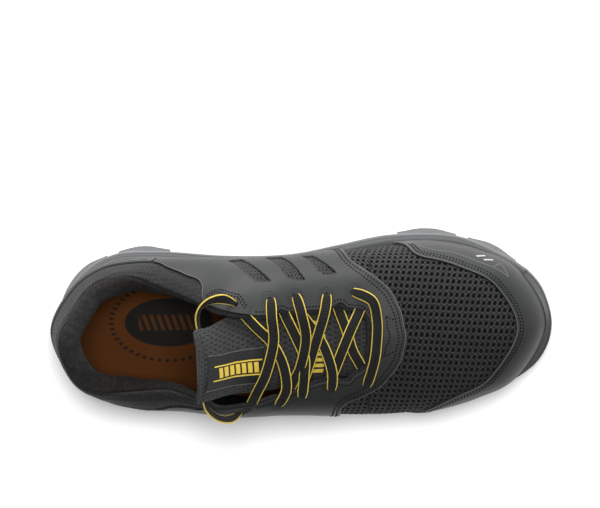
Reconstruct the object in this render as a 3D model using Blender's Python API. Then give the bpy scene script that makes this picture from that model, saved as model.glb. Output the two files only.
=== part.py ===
"""A right work shoe, low cut, on a lugged rubber sole, with a bumper round its hard toe.

Run it with: blender --background --python part.py

The shoe stands on its sole. +X points to the toe, +Y to the inner (medial) side and +Z up. The origin is
on the floor, in the middle of the shoe's length and width. Sizes and tables are in millimetres, or in
shares of the sizes named first, and the meshes are made in metres.
"""

import math

import bmesh
import bpy
import numpy as np
from mathutils import Vector

MM = 0.001

# Driving sizes
LENGTH = 304.0
BALL_WIDTH = 115.0
HEEL_STACK = 33.0
BALL_STACK = 24.0
INSTEP_HEIGHT = 103.0
TONGUE_HEIGHT = 121.0

# Walls, overlays and the gap that neighbours keep
WALL = 2.4
TOE_WALL = 4.4
OVERLAY = 1.2
TAB = 1.1
PATCH = 0.9
GAP = 0.3

# Outsole
LUG_REACH = 3.3
LUG_END = 0.45
LUG_ROUND = 15.0
LUG_DEPTH = 4.0
OUTSOLE_RIM = 12.0
EDGE_LUG_SHARE = 0.64
CENTRE_LUG_SHARE = 0.54
SPINE_SHARE = 0.10

# Lace
LACE_WIDTH = 6.4
LACE_THICK = 1.6
LACE_CORD = 3.4
EYELET_BORE = 4.6

HALF_LENGTH = LENGTH / 2 - LUG_REACH
HALF_WIDTH = BALL_WIDTH / 2 - LUG_REACH

# The sole's edge seen from above, without its side lugs, from the back of the heel along the medial side
# to the toe and back along the lateral side: shares of HALF_LENGTH and HALF_WIDTH.
SOLE_OUTLINE = (
    # name, along, across
    ("heel_back", -1.000, 0.065),
    ("heel_corner_medial", -0.940, 0.470),
    ("heel_medial", -0.800, 0.745),
    ("seat_medial", -0.640, 0.800),
    ("waist_medial", -0.330, 0.755),
    ("arch_medial", -0.060, 0.775),
    ("joint_medial", 0.152, 0.880),
    ("ball_medial", 0.363, 0.990),
    ("fore_medial", 0.605, 0.990),
    ("toe_medial", 0.787, 0.827),
    ("toe_corner_medial", 0.935, 0.563),
    ("toe_tip", 1.000, 0.110),
    ("toe_corner_lateral", 0.962, -0.310),
    ("toe_lateral", 0.830, -0.640),
    ("fore_lateral", 0.620, -0.880),
    ("ball_lateral", 0.383, -0.980),
    ("joint_lateral", 0.135, -0.985),
    ("waist_lateral", -0.150, -0.905),
    ("arch_lateral", -0.430, -0.815),
    ("seat_lateral", -0.680, -0.750),
    ("heel_lateral", -0.850, -0.610),
    ("heel_corner_lateral", -0.958, -0.310),
)

# Heights along the sole: where the tread lies, and the seat that the upper stands on.
SOLE_PROFILE = (
    # along (share of LENGTH / 2), tread, seat
    (-1.00, 6.0, HEEL_STACK + 1.5),
    (-0.90, 0.8, HEEL_STACK + 0.5),
    (-0.82, 0.0, HEEL_STACK),
    (-0.50, 0.0, HEEL_STACK - 1.5),
    (-0.32, 2.6, HEEL_STACK - 3.5),
    (-0.10, 4.2, BALL_STACK + 3.5),
    (0.10, 2.4, BALL_STACK + 1.2),
    (0.24, 0.0, BALL_STACK),
    (0.58, 0.0, BALL_STACK),
    (0.78, 3.0, BALL_STACK + 1.6),
    (0.90, 8.0, BALL_STACK + 4.0),
    (1.00, 14.0, BALL_STACK + 6.5),
)

# Side lugs of the outsole, with their ends as shares of LENGTH / 2. Reach is how far one stands out of the
# sole's side, as a share of LUG_REACH. It falls to the share LUG_END over the last LUG_ROUND millimetres. The
# first and the last run round the heel and the toe.
HEEL_WRAP = ("heel_wrap", -0.800, -0.815, 1.0)
TOE_WRAP = ("toe_wrap", 0.893, 0.860, 1.0)
MEDIAL_LUGS = (
    # name, start, end, reach
    ("seat", -0.752, -0.545, 1.0),
    ("waist", -0.490, -0.330, 0.0),
    ("joint", 0.130, 0.335, 0.0),
    ("ball", 0.385, 0.622, 1.0),
    ("fore", 0.672, 0.862, 1.0),
)
LATERAL_LUGS = (
    ("seat", -0.770, -0.560, 1.0),
    ("waist", -0.505, -0.330, 0.0),
    ("joint", 0.060, 0.270, 1.0),
    ("ball", 0.320, 0.545, 1.0),
    ("fore", 0.595, 0.820, 1.0),
)

# The upper's outer form, one row for each section round the foot. A section is a curve from the sole's seat
# (foot) to the top line (top). Foot and top are shares of LENGTH / 2 along and of BALL_WIDTH / 2 across,
# top_z is in shares of INSTEP_HEIGHT, belly is how far the side swells out, rise how high it swells, reach
# and drop how flat and how far it turns over into the top line, and pad the thickness of the top edge.
UPPER_SECTIONS = (
    # name, foot, side, top, across, top_z, belly, rise, reach, drop, pad
    ("heel_back", -0.960, 0, -0.955, 0.057, 0.845, 9.0, 0.45, 0.15, 14.0, 9.0),
    ("heel_medial", -0.905, 1, -0.885, 0.414, 0.801, 8.0, 0.45, 0.15, 14.0, 9.0),
    ("counter_medial", -0.780, 1, -0.809, 0.623, 0.743, 7.0, 0.48, 0.20, 12.0, 9.0),
    ("ankle_medial", -0.630, 1, -0.678, 0.715, 0.684, 7.0, 0.50, 0.35, 10.0, 9.0),
    ("collar_medial", -0.470, 1, -0.533, 0.617, 0.699, 11.0, 0.52, 0.50, 9.0, 8.5),
    ("tab_rear_medial", -0.330, 1, -0.408, 0.470, 0.806, 15.0, 0.52, 0.58, 9.0, 5.0),
    ("tab_medial", -0.205, 1, -0.322, 0.391, 0.951, 18.0, 0.52, 0.62, 9.0, WALL),
    ("stay_4_medial", -0.075, 1, -0.178, 0.339, 0.951, 18.0, 0.52, 0.62, 8.0, WALL),
    ("stay_3_medial", 0.060, 1, -0.046, 0.360, 0.879, 16.0, 0.52, 0.62, 7.0, WALL),
    ("stay_2_medial", 0.200, 1, 0.092, 0.360, 0.816, 10.0, 0.58, 0.62, 6.0, WALL),
    ("stay_1_medial", 0.360, 1, 0.211, 0.351, 0.767, 5.0, 0.66, 0.60, 6.0, WALL),
    ("throat_medial", 0.530, 1, 0.245, 0.261, 0.757, 3.5, 0.74, 0.58, 6.0, WALL),
    ("vamp_medial", 0.700, 1, 0.252, 0.165, 0.759, 3.0, 0.77, 0.56, 6.5, WALL),
    ("toe_medial", 0.865, 1, 0.254, 0.104, 0.760, 2.5, 0.78, 0.54, 7.5, WALL),
    ("toe_tip", 0.960, 0, 0.255, 0.052, 0.760, 2.5, 0.78, 0.54, 8.0, WALL),
    ("toe_lateral", 0.870, -1, 0.254, 0.000, 0.757, 2.5, 0.78, 0.54, 7.5, WALL),
    ("vamp_lateral", 0.720, -1, 0.251, -0.070, 0.752, 2.5, 0.77, 0.56, 6.5, WALL),
    ("throat_lateral", 0.550, -1, 0.242, -0.191, 0.745, 2.0, 0.74, 0.58, 6.0, WALL),
    ("stay_1_lateral", 0.390, -1, 0.204, -0.310, 0.743, 1.5, 0.70, 0.60, 6.0, WALL),
    ("stay_2_lateral", 0.240, -1, 0.079, -0.374, 0.777, 0.0, 0.68, 0.62, 6.5, WALL),
    ("stay_3_lateral", 0.090, -1, -0.053, -0.470, 0.820, -1.0, 0.66, 0.62, 7.0, WALL),
    ("stay_4_lateral", -0.060, -1, -0.184, -0.591, 0.854, -0.5, 0.64, 0.62, 7.5, WALL),
    ("tab_lateral", -0.205, -1, -0.322, -0.661, 0.835, 3.0, 0.62, 0.66, 8.5, WALL),
    ("tab_rear_lateral", -0.330, -1, -0.408, -0.635, 0.748, 6.5, 0.62, 0.66, 8.0, 5.0),
    ("collar_lateral", -0.470, -1, -0.526, -0.595, 0.680, 8.5, 0.62, 0.60, 7.0, 8.5),
    ("ankle_lateral", -0.630, -1, -0.658, -0.617, 0.650, 10.5, 0.60, 0.50, 8.0, 9.0),
    ("counter_lateral", -0.780, -1, -0.820, -0.570, 0.709, 9.0, 0.52, 0.25, 11.0, 9.0),
    ("heel_lateral", -0.905, -1, -0.910, -0.360, 0.786, 8.0, 0.46, 0.15, 14.0, 9.0),
)
FOOT_INSET = 2.2
SECTION = {row[0]: place for place, row in enumerate(UPPER_SECTIONS)}


def catmull(points, place, closed=True):
    """Points on the smooth curve through the rows of points. Place 2.5 is halfway from row 2 to row 3."""
    points = np.asarray(points, float)
    place = np.asarray(place, float)
    count = len(points)
    if not closed:
        place = np.clip(place, 0, count - 1.000001)
    row = np.floor(place).astype(int)
    share = (place - row)[..., None]
    rows = [row - 1, row, row + 1, row + 2]
    rows = [r % count if closed else np.clip(r, 0, count - 1) for r in rows]
    a, b, c, d = (points[r] for r in rows)
    bend = 2 * a - 5 * b + 4 * c - d + (3 * b - a - 3 * c + d) * share
    return 0.5 * (2 * b + (c - a + bend * share) * share)


def eased(table, x):
    """A smooth curve through (x, value) rows that never overshoots them."""
    xs, ys = np.asarray(table, float).T
    slopes = np.gradient(ys, xs)
    steps = np.diff(ys)
    turning = np.concatenate([[True], steps[:-1] * steps[1:] <= 0, [True]])
    slopes[turning] = 0
    row = np.clip(np.searchsorted(xs, x) - 1, 0, len(xs) - 2)
    width = xs[row + 1] - xs[row]
    t = np.clip((x - xs[row]) / width, 0, 1)
    start = ys[row] * (1 + 2 * t) * (1 - t) ** 2 + slopes[row] * width * t * (1 - t) ** 2
    return start + ys[row + 1] * t**2 * (3 - 2 * t) - slopes[row + 1] * width * t**2 * (1 - t)


def smooth_step(low, high, value):
    share = np.clip((np.asarray(value, float) - low) / (high - low), 0, 1)
    return share * share * (3 - 2 * share)


def tread_height(x):
    return eased([(along * LENGTH / 2, tread) for along, tread, _ in SOLE_PROFILE], x)


def seat_height(x):
    return eased([(along * LENGTH / 2, seat) for along, _, seat in SOLE_PROFILE], x)


OUTLINE_POINTS = [(along * HALF_LENGTH, across * HALF_WIDTH) for _, along, across in SOLE_OUTLINE]
TOE_PLACE = [row[0] for row in SOLE_OUTLINE].index("toe_tip")
OUTLINE_PLACES = np.linspace(0, len(OUTLINE_POINTS), 1201)


def outline(place):
    return catmull(OUTLINE_POINTS, place)


def outline_normal(place):
    """The level direction that points out of the sole's edge."""
    step = outline(np.asarray(place) + 0.01) - outline(np.asarray(place) - 0.01)
    normal = np.stack([-step[..., 1], step[..., 0]], -1)
    return normal / np.linalg.norm(normal, axis=-1, keepdims=True)


def place_at(x, side):
    """Where the sole's edge on the medial (1) or the lateral (-1) side passes x."""
    ahead = OUTLINE_PLACES <= TOE_PLACE
    branch = OUTLINE_PLACES[ahead] if side > 0 else OUTLINE_PLACES[~ahead][::-1]
    return float(np.interp(x, outline(branch)[:, 0], branch))


def spine(points):
    """The point on the sole's middle line that each edge point is drawn towards."""
    x = np.clip(points[:, 0], -0.74 * HALF_LENGTH, 0.72 * HALF_LENGTH)
    middle = [(outline(place_at(v, 1))[1] + outline(place_at(v, -1))[1]) / 2 for v in x]
    return np.stack([x, middle], -1)


def level_ring(places, share, offset, height):
    """A closed ring of the sole: share draws the edge towards the middle line, offset moves it out."""
    edge = outline(places) + outline_normal(places) * offset
    middle = spine(edge)
    flat = middle + (edge - middle) * share
    return np.column_stack([flat, height(flat[:, 0])])


def new_object(name, bm, color, roughness, metallic=0.0, smooth_angle=35.0):
    """Closes a bmesh in millimetres into a named object with its own material."""
    bmesh.ops.recalc_face_normals(bm, faces=bm.faces)
    bmesh.ops.scale(bm, vec=Vector((MM, MM, MM)), verts=bm.verts)
    mesh = bpy.data.meshes.new(name)
    bm.to_mesh(mesh)
    bm.free()
    mesh.shade_smooth()
    mesh.set_sharp_from_angle(angle=math.radians(smooth_angle))
    obj = bpy.data.objects.new(name, mesh)
    bpy.context.scene.collection.objects.link(obj)
    mesh.materials.append(new_material(name, color, roughness, metallic))
    return obj


def new_material(name, color, roughness, metallic):
    material = bpy.data.materials.new(name)
    material.use_nodes = True
    shader = material.node_tree.nodes["Principled BSDF"]
    shader.inputs["Base Color"].default_value = (*color, 1.0)
    shader.inputs["Roughness"].default_value = roughness
    shader.inputs["Metallic"].default_value = metallic
    return material


def add_loops(bm, rings, closed=True):
    """Vertices for each ring of points, and the faces between one ring and the next, ring by ring."""
    loops = [[bm.verts.new(p) for p in ring] for ring in rings]
    faces = []
    for low, high in zip(loops, loops[1:]):
        last = len(low) if closed else len(low) - 1
        row = []
        for i in range(last):
            j = (i + 1) % len(low)
            row.append(bm.faces.new((low[i], low[j], high[j], high[i])))
        faces.append(row)
    return loops, faces


def fill(bm, loop):
    """Closes a flat or gently curved loop with triangles."""
    edges = [bm.edges.get((a, b)) or bm.edges.new((a, b)) for a, b in zip(loop, loop[1:] + loop[:1])]
    bmesh.ops.triangle_fill(bm, use_beauty=True, use_dissolve=False, edges=edges)


# Sole


def lug_spans():
    """Every lug as (name, start, end, reach) in places along the sole's edge, in order round it."""
    half = LENGTH / 2
    spans = []
    for name, start, end, reach in MEDIAL_LUGS:
        spans.append((name, place_at(start * half, 1), place_at(end * half, 1), reach))
    spans.append((TOE_WRAP[0], place_at(TOE_WRAP[1] * half, 1), place_at(TOE_WRAP[2] * half, -1), TOE_WRAP[3]))
    for name, start, end, reach in reversed(LATERAL_LUGS):
        spans.append((name, place_at(end * half, -1), place_at(start * half, -1), reach))
    heel_end = place_at(HEEL_WRAP[1] * half, 1) + len(OUTLINE_POINTS)
    spans.append((HEEL_WRAP[0], place_at(HEEL_WRAP[2] * half, -1), heel_end, HEEL_WRAP[3]))
    return spans


LUG_STEP = 0.34
WRAP_STEP = 0.40
GAP_STEP = 0.55


def sole_places():
    """Places round the sole's edge that meet every lug's ends, and which columns belong to each lug."""
    places, columns = [], []
    spans = lug_spans()
    following = spans[1:] + [(None, spans[0][1] + len(OUTLINE_POINTS), None, None)]
    for (name, start, end, reach), after in zip(spans, following):
        wrap = name in (HEEL_WRAP[0], TOE_WRAP[0])
        steps = max(2, math.ceil((end - start) / (WRAP_STEP if wrap else LUG_STEP)))
        columns.append((len(places), steps, reach))
        places.extend(np.linspace(start, end, steps + 1)[:-1])
        gap_steps = max(1, round((after[1] - end) / GAP_STEP))
        places.extend(np.linspace(end, after[1], gap_steps + 1)[:-1])
    return np.array(places), columns


def outsole_top(x):
    return tread_height(x) + OUTSOLE_RIM


def raise_patch(bm, faces, move):
    """Extrudes a patch of faces as one block and moves each of its new corners."""
    made = bmesh.ops.extrude_face_region(bm, geom=faces)["geom"]
    for vert in [g for g in made if isinstance(g, bmesh.types.BMVert)]:
        vert.co += move(vert.co)
    for face in [f for f in faces if f.is_valid]:
        bm.faces.remove(face)


def make_outsole(places, columns):
    """A rubber plate with lugs round its edge, some standing out of its side, and a row each side inside."""
    bm = bmesh.new()
    shares = (SPINE_SHARE, CENTRE_LUG_SHARE, EDGE_LUG_SHARE, 1.0)

    def plate(x):
        return tread_height(x) + LUG_DEPTH

    rings = [level_ring(places, share, 0, plate) for share in shares]
    rings += [level_ring(places, share, 0, outsole_top) for share in (1.0, 0.5, SPINE_SHARE)]
    loops, faces = add_loops(bm, rings)
    fill(bm, loops[0])
    fill(bm, loops[-1])
    edge = outline(places)
    normals = outline_normal(places)

    def down(_):
        return Vector((0, 0, -LUG_DEPTH))

    for first, steps, reach in columns:
        lug = [i % len(places) for i in range(first, first + steps)]
        raise_patch(bm, [faces[0][i] for i in lug], down)
        raise_patch(bm, [faces[2][i] for i in lug], down)
        if not reach:
            continue
        rim = [(loops[3][i], loops[3][(i + 1) % len(places)]) for i in lug]
        side = {f for a, b in rim for f in bm.edges.get((a, b)).link_faces}
        ends = edge[[lug[0], (lug[-1] + 1) % len(places)]]

        def out(co):
            nearest = np.argmin(np.hypot(*(edge - np.array(co.xy)).T))
            height = (co.z - tread_height(co.x)) / OUTSOLE_RIM
            from_end = np.hypot(*(ends - edge[nearest]).T).min()
            swell = LUG_END + (1.0 - LUG_END) * smooth_step(0, LUG_ROUND, from_end)
            return Vector((*normals[nearest], 0)) * LUG_REACH * reach * swell * (1.0 - 0.35 * height)

        raise_patch(bm, list(side), out)
    return new_object("outsole", bm, (0.020, 0.021, 0.022), 0.62)


def make_midsole(places):
    """A foam wedge on the outsole, with a rounded rib, a groove and a rim round its side."""
    side = (
        # offset, share of the wedge's height
        (0.7, 0.14),
        (0.7, 0.40),
        (-0.5, 0.52),
        (0.6, 0.64),
        (0.4, 0.90),
        (-0.8, 1.0),
    )

    def base(x):
        return outsole_top(x) + GAP

    def height_at(share):
        return lambda x: base(x) + (seat_height(x) - base(x)) * share

    rings = [level_ring(places, share, 0, seat_height) for share in (SPINE_SHARE, 0.5)]
    rings += [level_ring(places, 1.0, offset, height_at(share)) for offset, share in reversed(side)]
    rings += [level_ring(places, share, 0, base) for share in (1.0, 0.5, SPINE_SHARE)]
    bm = bmesh.new()
    loops, _ = add_loops(bm, rings)
    fill(bm, loops[0])
    fill(bm, loops[-1])
    return new_object("midsole", bm, (0.045, 0.047, 0.050), 0.55)


# Upper


def section_points():
    """The four control points of each section's curve, foot to top line, and the top edge's thickness."""
    half, wide = LENGTH / 2, BALL_WIDTH / 2
    rows = []
    for name, foot, side, top, across, top_z, belly, rise, reach, drop, pad in UPPER_SECTIONS:
        if side:
            place = place_at(foot * half, side)
        else:
            place = 0 if name == "heel_back" else TOE_PLACE
        normal = outline_normal(place)
        base = outline(place) - normal * FOOT_INSET
        base = np.array([*base, seat_height(base[0]) + GAP])
        peak = np.array([top * half, across * wide, top_z * INSTEP_HEIGHT])
        swell = base + np.array([*(normal * belly), rise * (peak[2] - base[2])])
        turn = peak + reach * (swell - peak)
        turn[2] = peak[2] - drop
        rows.append(np.concatenate([base, swell, turn, peak, [pad]]))
    return np.array(rows)


SECTION_POINTS = section_points()


def upper_point(place, up):
    """A point on the upper's outer form: place runs round the sections, up from foot (0) to top line (1)."""
    place, up = np.broadcast_arrays(np.asarray(place, float), np.asarray(up, float))
    row = catmull(SECTION_POINTS, place)
    base, swell, turn, peak = (row[..., i : i + 3] for i in (0, 3, 6, 9))
    t = up[..., None]
    return base * (1 - t) ** 3 + 3 * swell * t * (1 - t) ** 2 + 3 * turn * t**2 * (1 - t) + peak * t**3


def upper_normal(place, up):
    """The direction out of the upper's form, level at the foot."""
    step = 0.01
    low, high = np.clip(np.asarray(up, float) - step, 0, 1), np.clip(np.asarray(up, float) + step, 0, 1)
    along = upper_point(np.asarray(place) + step, up) - upper_point(np.asarray(place) - step, up)
    rise = upper_point(place, high) - upper_point(place, low)
    normal = np.cross(rise, along)
    normal[..., 2] *= smooth_step(0.0, 0.12, up)
    return normal / np.linalg.norm(normal, axis=-1, keepdims=True)


def toe_share(place):
    """1 over the hard toe, falling to 0 past its ends."""
    ahead = smooth_step(SECTION["throat_medial"], SECTION["toe_medial"], place)
    return ahead * (1 - smooth_step(SECTION["toe_lateral"], SECTION["throat_lateral"], place))


def upper_wall(place, up):
    """The wall's thickness: hard and thick at the toe, padded at the collar, thin elsewhere."""
    pad = catmull(SECTION_POINTS, place)[..., 12]
    padded = (pad - WALL) * smooth_step(0.35, 0.80, up)
    hard = (TOE_WALL - WALL) * toe_share(place) * (1 - smooth_step(0.50, 0.72, up))
    return WALL + padded + hard


def upper_offset(place, up, distance):
    return upper_point(place, up) + upper_normal(place, up) * np.asarray(distance)[..., None]


UPPER_PLACES = np.linspace(0, len(UPPER_SECTIONS), 70, endpoint=False)
OUTER_ROWS = (0.0, 0.10, 0.21, 0.32, 0.43, 0.55, 0.67, 0.79, 0.90, 1.0)
INNER_ROWS = (1.0, 0.90, 0.76, 0.61, 0.46, 0.31, 0.15, 0.0)
RIM_TURNS = (45.0, 90.0, 135.0)


def make_upper():
    """One hollow wall, open below over the sole, at the collar and down the throat."""
    places = UPPER_PLACES
    rings = [upper_point(places, up) for up in OUTER_ROWS]
    top = upper_point(places, 1.0)
    normal = upper_normal(places, 1.0)
    edge = top - upper_point(places, 0.98)
    edge /= np.linalg.norm(edge, axis=-1, keepdims=True)
    radius = upper_wall(places, 1.0)[:, None] / 2
    for turn in RIM_TURNS:
        angle = math.radians(turn)
        rings.append(top - normal * radius * (1 - math.cos(angle)) + edge * radius * math.sin(angle))
    rings += [upper_offset(places, up, -upper_wall(places, up)) for up in INNER_ROWS]
    bm = bmesh.new()
    add_loops(bm, [*rings, rings[0]])
    bmesh.ops.remove_doubles(bm, verts=bm.verts, dist=0.001)
    return new_object("upper", bm, (0.018, 0.019, 0.020), 0.85)


def overlay_places(start, end, steep=()):
    """The upper's own columns between start and end, with both ends, so that facets lie side by side.

    Where an edge climbs steeply, between the places of each pair in steep, columns come four times as close.
    """
    around = len(UPPER_SECTIONS)
    columns = [*UPPER_PLACES, *(UPPER_PLACES + around)]
    step = around / len(UPPER_PLACES) / 4
    for low, high in steep:
        columns += [step * i for i in range(math.ceil(low / step), math.floor(high / step) + 1)]
    columns = np.unique(np.round(columns, 6))
    between = columns[(columns > start + 0.02) & (columns < end - 0.02)]
    return np.concatenate([[start], between, [end]])


def overlay_plate(places, lows, highs, inner, outer):
    """Rings of a thin plate laid on the upper between the curves lows and highs, from inner to outer."""
    ups = [np.clip(row, lows, highs) for row in OUTER_ROWS]
    over = [upper_offset(places, up, np.full_like(places, outer)) for up in ups]
    under = [upper_offset(places, up, np.full_like(places, inner)) for up in reversed(ups)]
    return [*over, *under]


def plate_mesh(rings):
    """A closed plate from overlay_plate's rings."""
    bm = bmesh.new()
    loops, _ = add_loops(bm, [*rings, rings[0]], closed=False)
    half = len(rings) // 2
    for end in (0, -1):
        for i in range(half - 1):
            corners = [loops[i][end], loops[i + 1][end], loops[-3 - i][end], loops[-2 - i][end]]
            bm.faces.new(corners)
    bmesh.ops.remove_doubles(bm, verts=bm.verts, dist=0.001)
    return bm


# Overlays: their edges as places round the sections and heights up them
TOE_RAND_EDGE = (
    # place, up
    (SECTION["stay_1_medial"] + 0.02, 0.08),
    (SECTION["stay_1_medial"] + 0.65, 0.35),
    (SECTION["throat_medial"] + 0.3, 0.39),
    (SECTION["vamp_medial"], 0.39),
    (SECTION["toe_medial"], 0.38),
    (SECTION["toe_tip"], 0.39),
    (SECTION["toe_lateral"], 0.41),
    (SECTION["vamp_lateral"], 0.41),
    (SECTION["throat_lateral"], 0.34),
    (SECTION["stay_1_lateral"] - 0.10, 0.08),
)
SADDLE_FRONT_EDGE = (
    (SECTION["ankle_medial"] + 0.36, 0.012),
    (SECTION["stay_3_medial"] + 0.35, 0.012),
    (SECTION["stay_2_medial"] + 0.10, 0.46),
    (SECTION["stay_2_medial"] + 0.70, 0.63),
    (SECTION["throat_medial"], 0.78),
    (SECTION["vamp_medial"] + 0.20, 0.835),
    (SECTION["toe_tip"], 0.872),
    (SECTION["vamp_lateral"], 0.840),
    (SECTION["throat_lateral"] + 0.20, 0.815),
    (SECTION["stay_1_lateral"] + 0.45, 0.74),
    (SECTION["stay_2_lateral"] + 0.20, 0.60),
    (SECTION["stay_2_lateral"] + 1.00, 0.012),
    (SECTION["ankle_lateral"] - 0.36, 0.012),
)
SADDLE_TOP_EDGE = (
    (SECTION["ankle_medial"] + 0.36, 0.56),
    (SECTION["ankle_medial"] + 0.80, 0.70),
    (SECTION["collar_medial"] + 0.30, 0.77),
    (SECTION["collar_medial"] + 0.95, 0.84),
    (SECTION["tab_rear_medial"] + 0.20, 0.985),
    (SECTION["tab_rear_lateral"] - 0.20, 0.985),
    (SECTION["tab_rear_lateral"] + 0.05, 0.84),
    (SECTION["collar_lateral"] - 0.30, 0.77),
    (SECTION["ankle_lateral"] - 0.80, 0.70),
    (SECTION["ankle_lateral"] - 0.36, 0.56),
)
COUNTER_EDGE = (
    (SECTION["ankle_lateral"] - 0.32, 0.52),
    (SECTION["counter_lateral"], 0.42),
    (SECTION["heel_lateral"] + 1.0, 0.42),
    (SECTION["counter_medial"] + len(UPPER_SECTIONS), 0.42),
    (SECTION["ankle_medial"] + 0.32 + len(UPPER_SECTIONS), 0.52),
)
TAB_MEDIAL_EDGE = (
    (SECTION["tab_rear_medial"] + 0.24, 0.91),
    (SECTION["tab_rear_medial"] + 0.55, 0.83),
    (SECTION["tab_medial"] + 0.30, 0.82),
    (SECTION["tab_medial"] + 0.72, 0.91),
)
TAB_LATERAL_EDGE = (
    (SECTION["tab_lateral"] - 0.72, 0.91),
    (SECTION["tab_lateral"] - 0.30, 0.84),
    (SECTION["tab_lateral"] + 0.45, 0.84),
    (SECTION["tab_rear_lateral"] - 0.24, 0.91),
)
RAND_STEEP = (
    (SECTION["stay_1_medial"], SECTION["stay_1_medial"] + 0.68),
    (SECTION["throat_lateral"] + 0.32, SECTION["stay_1_lateral"]),
)
SADDLE_STEEP = (
    (SECTION["tab_rear_medial"] - 0.45, SECTION["tab_rear_medial"] + 0.45),
    (SECTION["stay_3_medial"] + 0.33, SECTION["stay_2_medial"] + 0.62),
    (SECTION["stay_2_lateral"] - 0.21, SECTION["stay_3_lateral"] + 0.05),
    (SECTION["tab_rear_lateral"] - 0.45, SECTION["tab_rear_lateral"] + 0.25),
)
OVERLAY_FOOT = 0.012
OVERLAY_TOP = 0.985

# Punched eyelets, from the top one to the toe, and the medial vents between their corners
EYELETS = (
    # place, up
    (SECTION["tab_medial"] + 0.30, 0.915),
    (SECTION["stay_4_medial"] + 0.20, 0.870),
    (SECTION["stay_3_medial"] - 0.05, 0.870),
    (SECTION["stay_2_medial"] - 0.20, 0.870),
    (SECTION["stay_1_medial"] - 0.45, 0.845),
    (SECTION["tab_lateral"] - 0.40, 0.925),
    (SECTION["stay_4_lateral"] - 0.45, 0.900),
    (SECTION["stay_3_lateral"] - 0.15, 0.910),
    (SECTION["stay_2_lateral"], 0.905),
    (SECTION["stay_1_lateral"] - 0.05, 0.880),
)
VENTS = (
    # foot end rear, foot end front, tip, rounded corner behind the tip: each place, up
    ((5.41, 0.417), (5.85, 0.375), (7.02, 0.687), (6.52, 0.675)),
    ((6.52, 0.325), (7.03, 0.320), (8.07, 0.715), (7.51, 0.667)),
    ((7.69, 0.372), (8.03, 0.390), (8.87, 0.640), (8.48, 0.652)),
)
VENT_SWELL = 0.012
EYELET_SIDES = 12
CUT_DEPTH = 5.0


def make_toe_rand():
    """The bumper round the toe, tapering to nothing along both sides."""
    places = overlay_places(TOE_RAND_EDGE[0][0], TOE_RAND_EDGE[-1][0], RAND_STEEP)
    highs = eased(TOE_RAND_EDGE, places)
    rings = overlay_plate(places, np.full_like(places, OVERLAY_FOOT), highs, GAP, GAP + OVERLAY)
    return new_object("toe_rand", plate_mesh(rings), (0.060, 0.063, 0.066), 0.55)


def make_saddle():
    """Both quarters and eyestays in one piece, joined by an arch across the vamp."""
    places = overlay_places(SADDLE_FRONT_EDGE[0][0], SADDLE_FRONT_EDGE[-1][0], SADDLE_STEEP)
    rings = overlay_plate(
        places, eased(SADDLE_FRONT_EDGE, places), eased(SADDLE_TOP_EDGE, places), GAP, GAP + OVERLAY
    )
    return new_object("saddle", plate_mesh(rings), (0.055, 0.058, 0.061), 0.55)


def make_heel_counter():
    places = overlay_places(COUNTER_EDGE[0][0], COUNTER_EDGE[-1][0])
    highs = eased(COUNTER_EDGE, places)
    rings = overlay_plate(places, np.full_like(places, OVERLAY_FOOT), highs, GAP, GAP + OVERLAY)
    return new_object("heel_counter", plate_mesh(rings), (0.055, 0.058, 0.061), 0.55)


def make_eyelet_tab(name, edge):
    """A stitched tab on the saddle round the top eyelet of one side."""
    places = overlay_places(edge[0][0], edge[-1][0])
    lows = eased(edge, places)
    base = 2 * GAP + OVERLAY
    rings = overlay_plate(places, lows, np.full_like(places, OVERLAY_TOP), base, base + TAB)
    return new_object(name, plate_mesh(rings), (0.050, 0.053, 0.056), 0.60)


def make_cutter(name, bm):
    """Turns a mesh of closed blocks into a hidden cutter."""
    cutter = new_object(name, bm, (0.5, 0.5, 0.5), 0.5)
    cutter.hide_render = True
    cutter.display_type = "WIRE"
    return cutter


def add_prism(bm, low, high):
    """A closed block between two loops of points."""
    loops, _ = add_loops(bm, [low, high])
    bm.faces.new(loops[0][::-1])
    bm.faces.new(loops[1])


def make_eyelet_cutter(name, eyelets):
    bm = bmesh.new()
    turns = np.linspace(0, 2 * math.pi, EYELET_SIDES, endpoint=False)
    for place, up in eyelets:
        centre = upper_point(place, up)
        axis = upper_normal(place, up)
        first = upper_point(place + 0.01, up) - centre
        first -= axis * first.dot(axis)
        first /= np.linalg.norm(first)
        second = np.cross(axis, first)
        ring = centre + EYELET_BORE / 2 * (np.cos(turns)[:, None] * first + np.sin(turns)[:, None] * second)
        add_prism(bm, ring - axis * CUT_DEPTH, ring + axis * CUT_DEPTH)
    return make_cutter(name, bm)


def vent_outline(rear, front, tip, corner):
    """A slanted leaf, in places and heights: straight long sides, and a swollen end from its tip to a corner."""
    rear, front, tip, corner = (np.array(p) for p in (rear, front, tip, corner))
    swell = np.array([0, VENT_SWELL])
    side = [front + (tip - front) * t for t in (0.0, 0.35, 0.7)]
    end = [tip + (corner - tip) * t + swell * 4 * t * (1 - t) for t in (0.0, 0.45, 0.85)]
    back = [corner + (rear - corner) * t for t in (0.12, 0.45, 0.75, 1.0)]
    return np.array([*side, *end, *back])


def make_vent_cutter():
    bm = bmesh.new()
    for corners in VENTS:
        leaf = vent_outline(*corners)
        depths = (np.full(len(leaf), -4.0), np.full(len(leaf), 8.0))
        low, high = (upper_offset(leaf[:, 0], leaf[:, 1], depth) for depth in depths)
        add_prism(bm, low, high)
    return make_cutter("vent_cutter", bm)


def cut(obj, cutter, operation="DIFFERENCE"):
    modifier = obj.modifiers.new(cutter.name, "BOOLEAN")
    modifier.operation = operation
    modifier.solver = "EXACT"
    modifier.object = cutter


# Insole

INSOLE_AROUND = 46
INSOLE_THICK = 4.5
INSOLE_EDGE = 7.5


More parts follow.
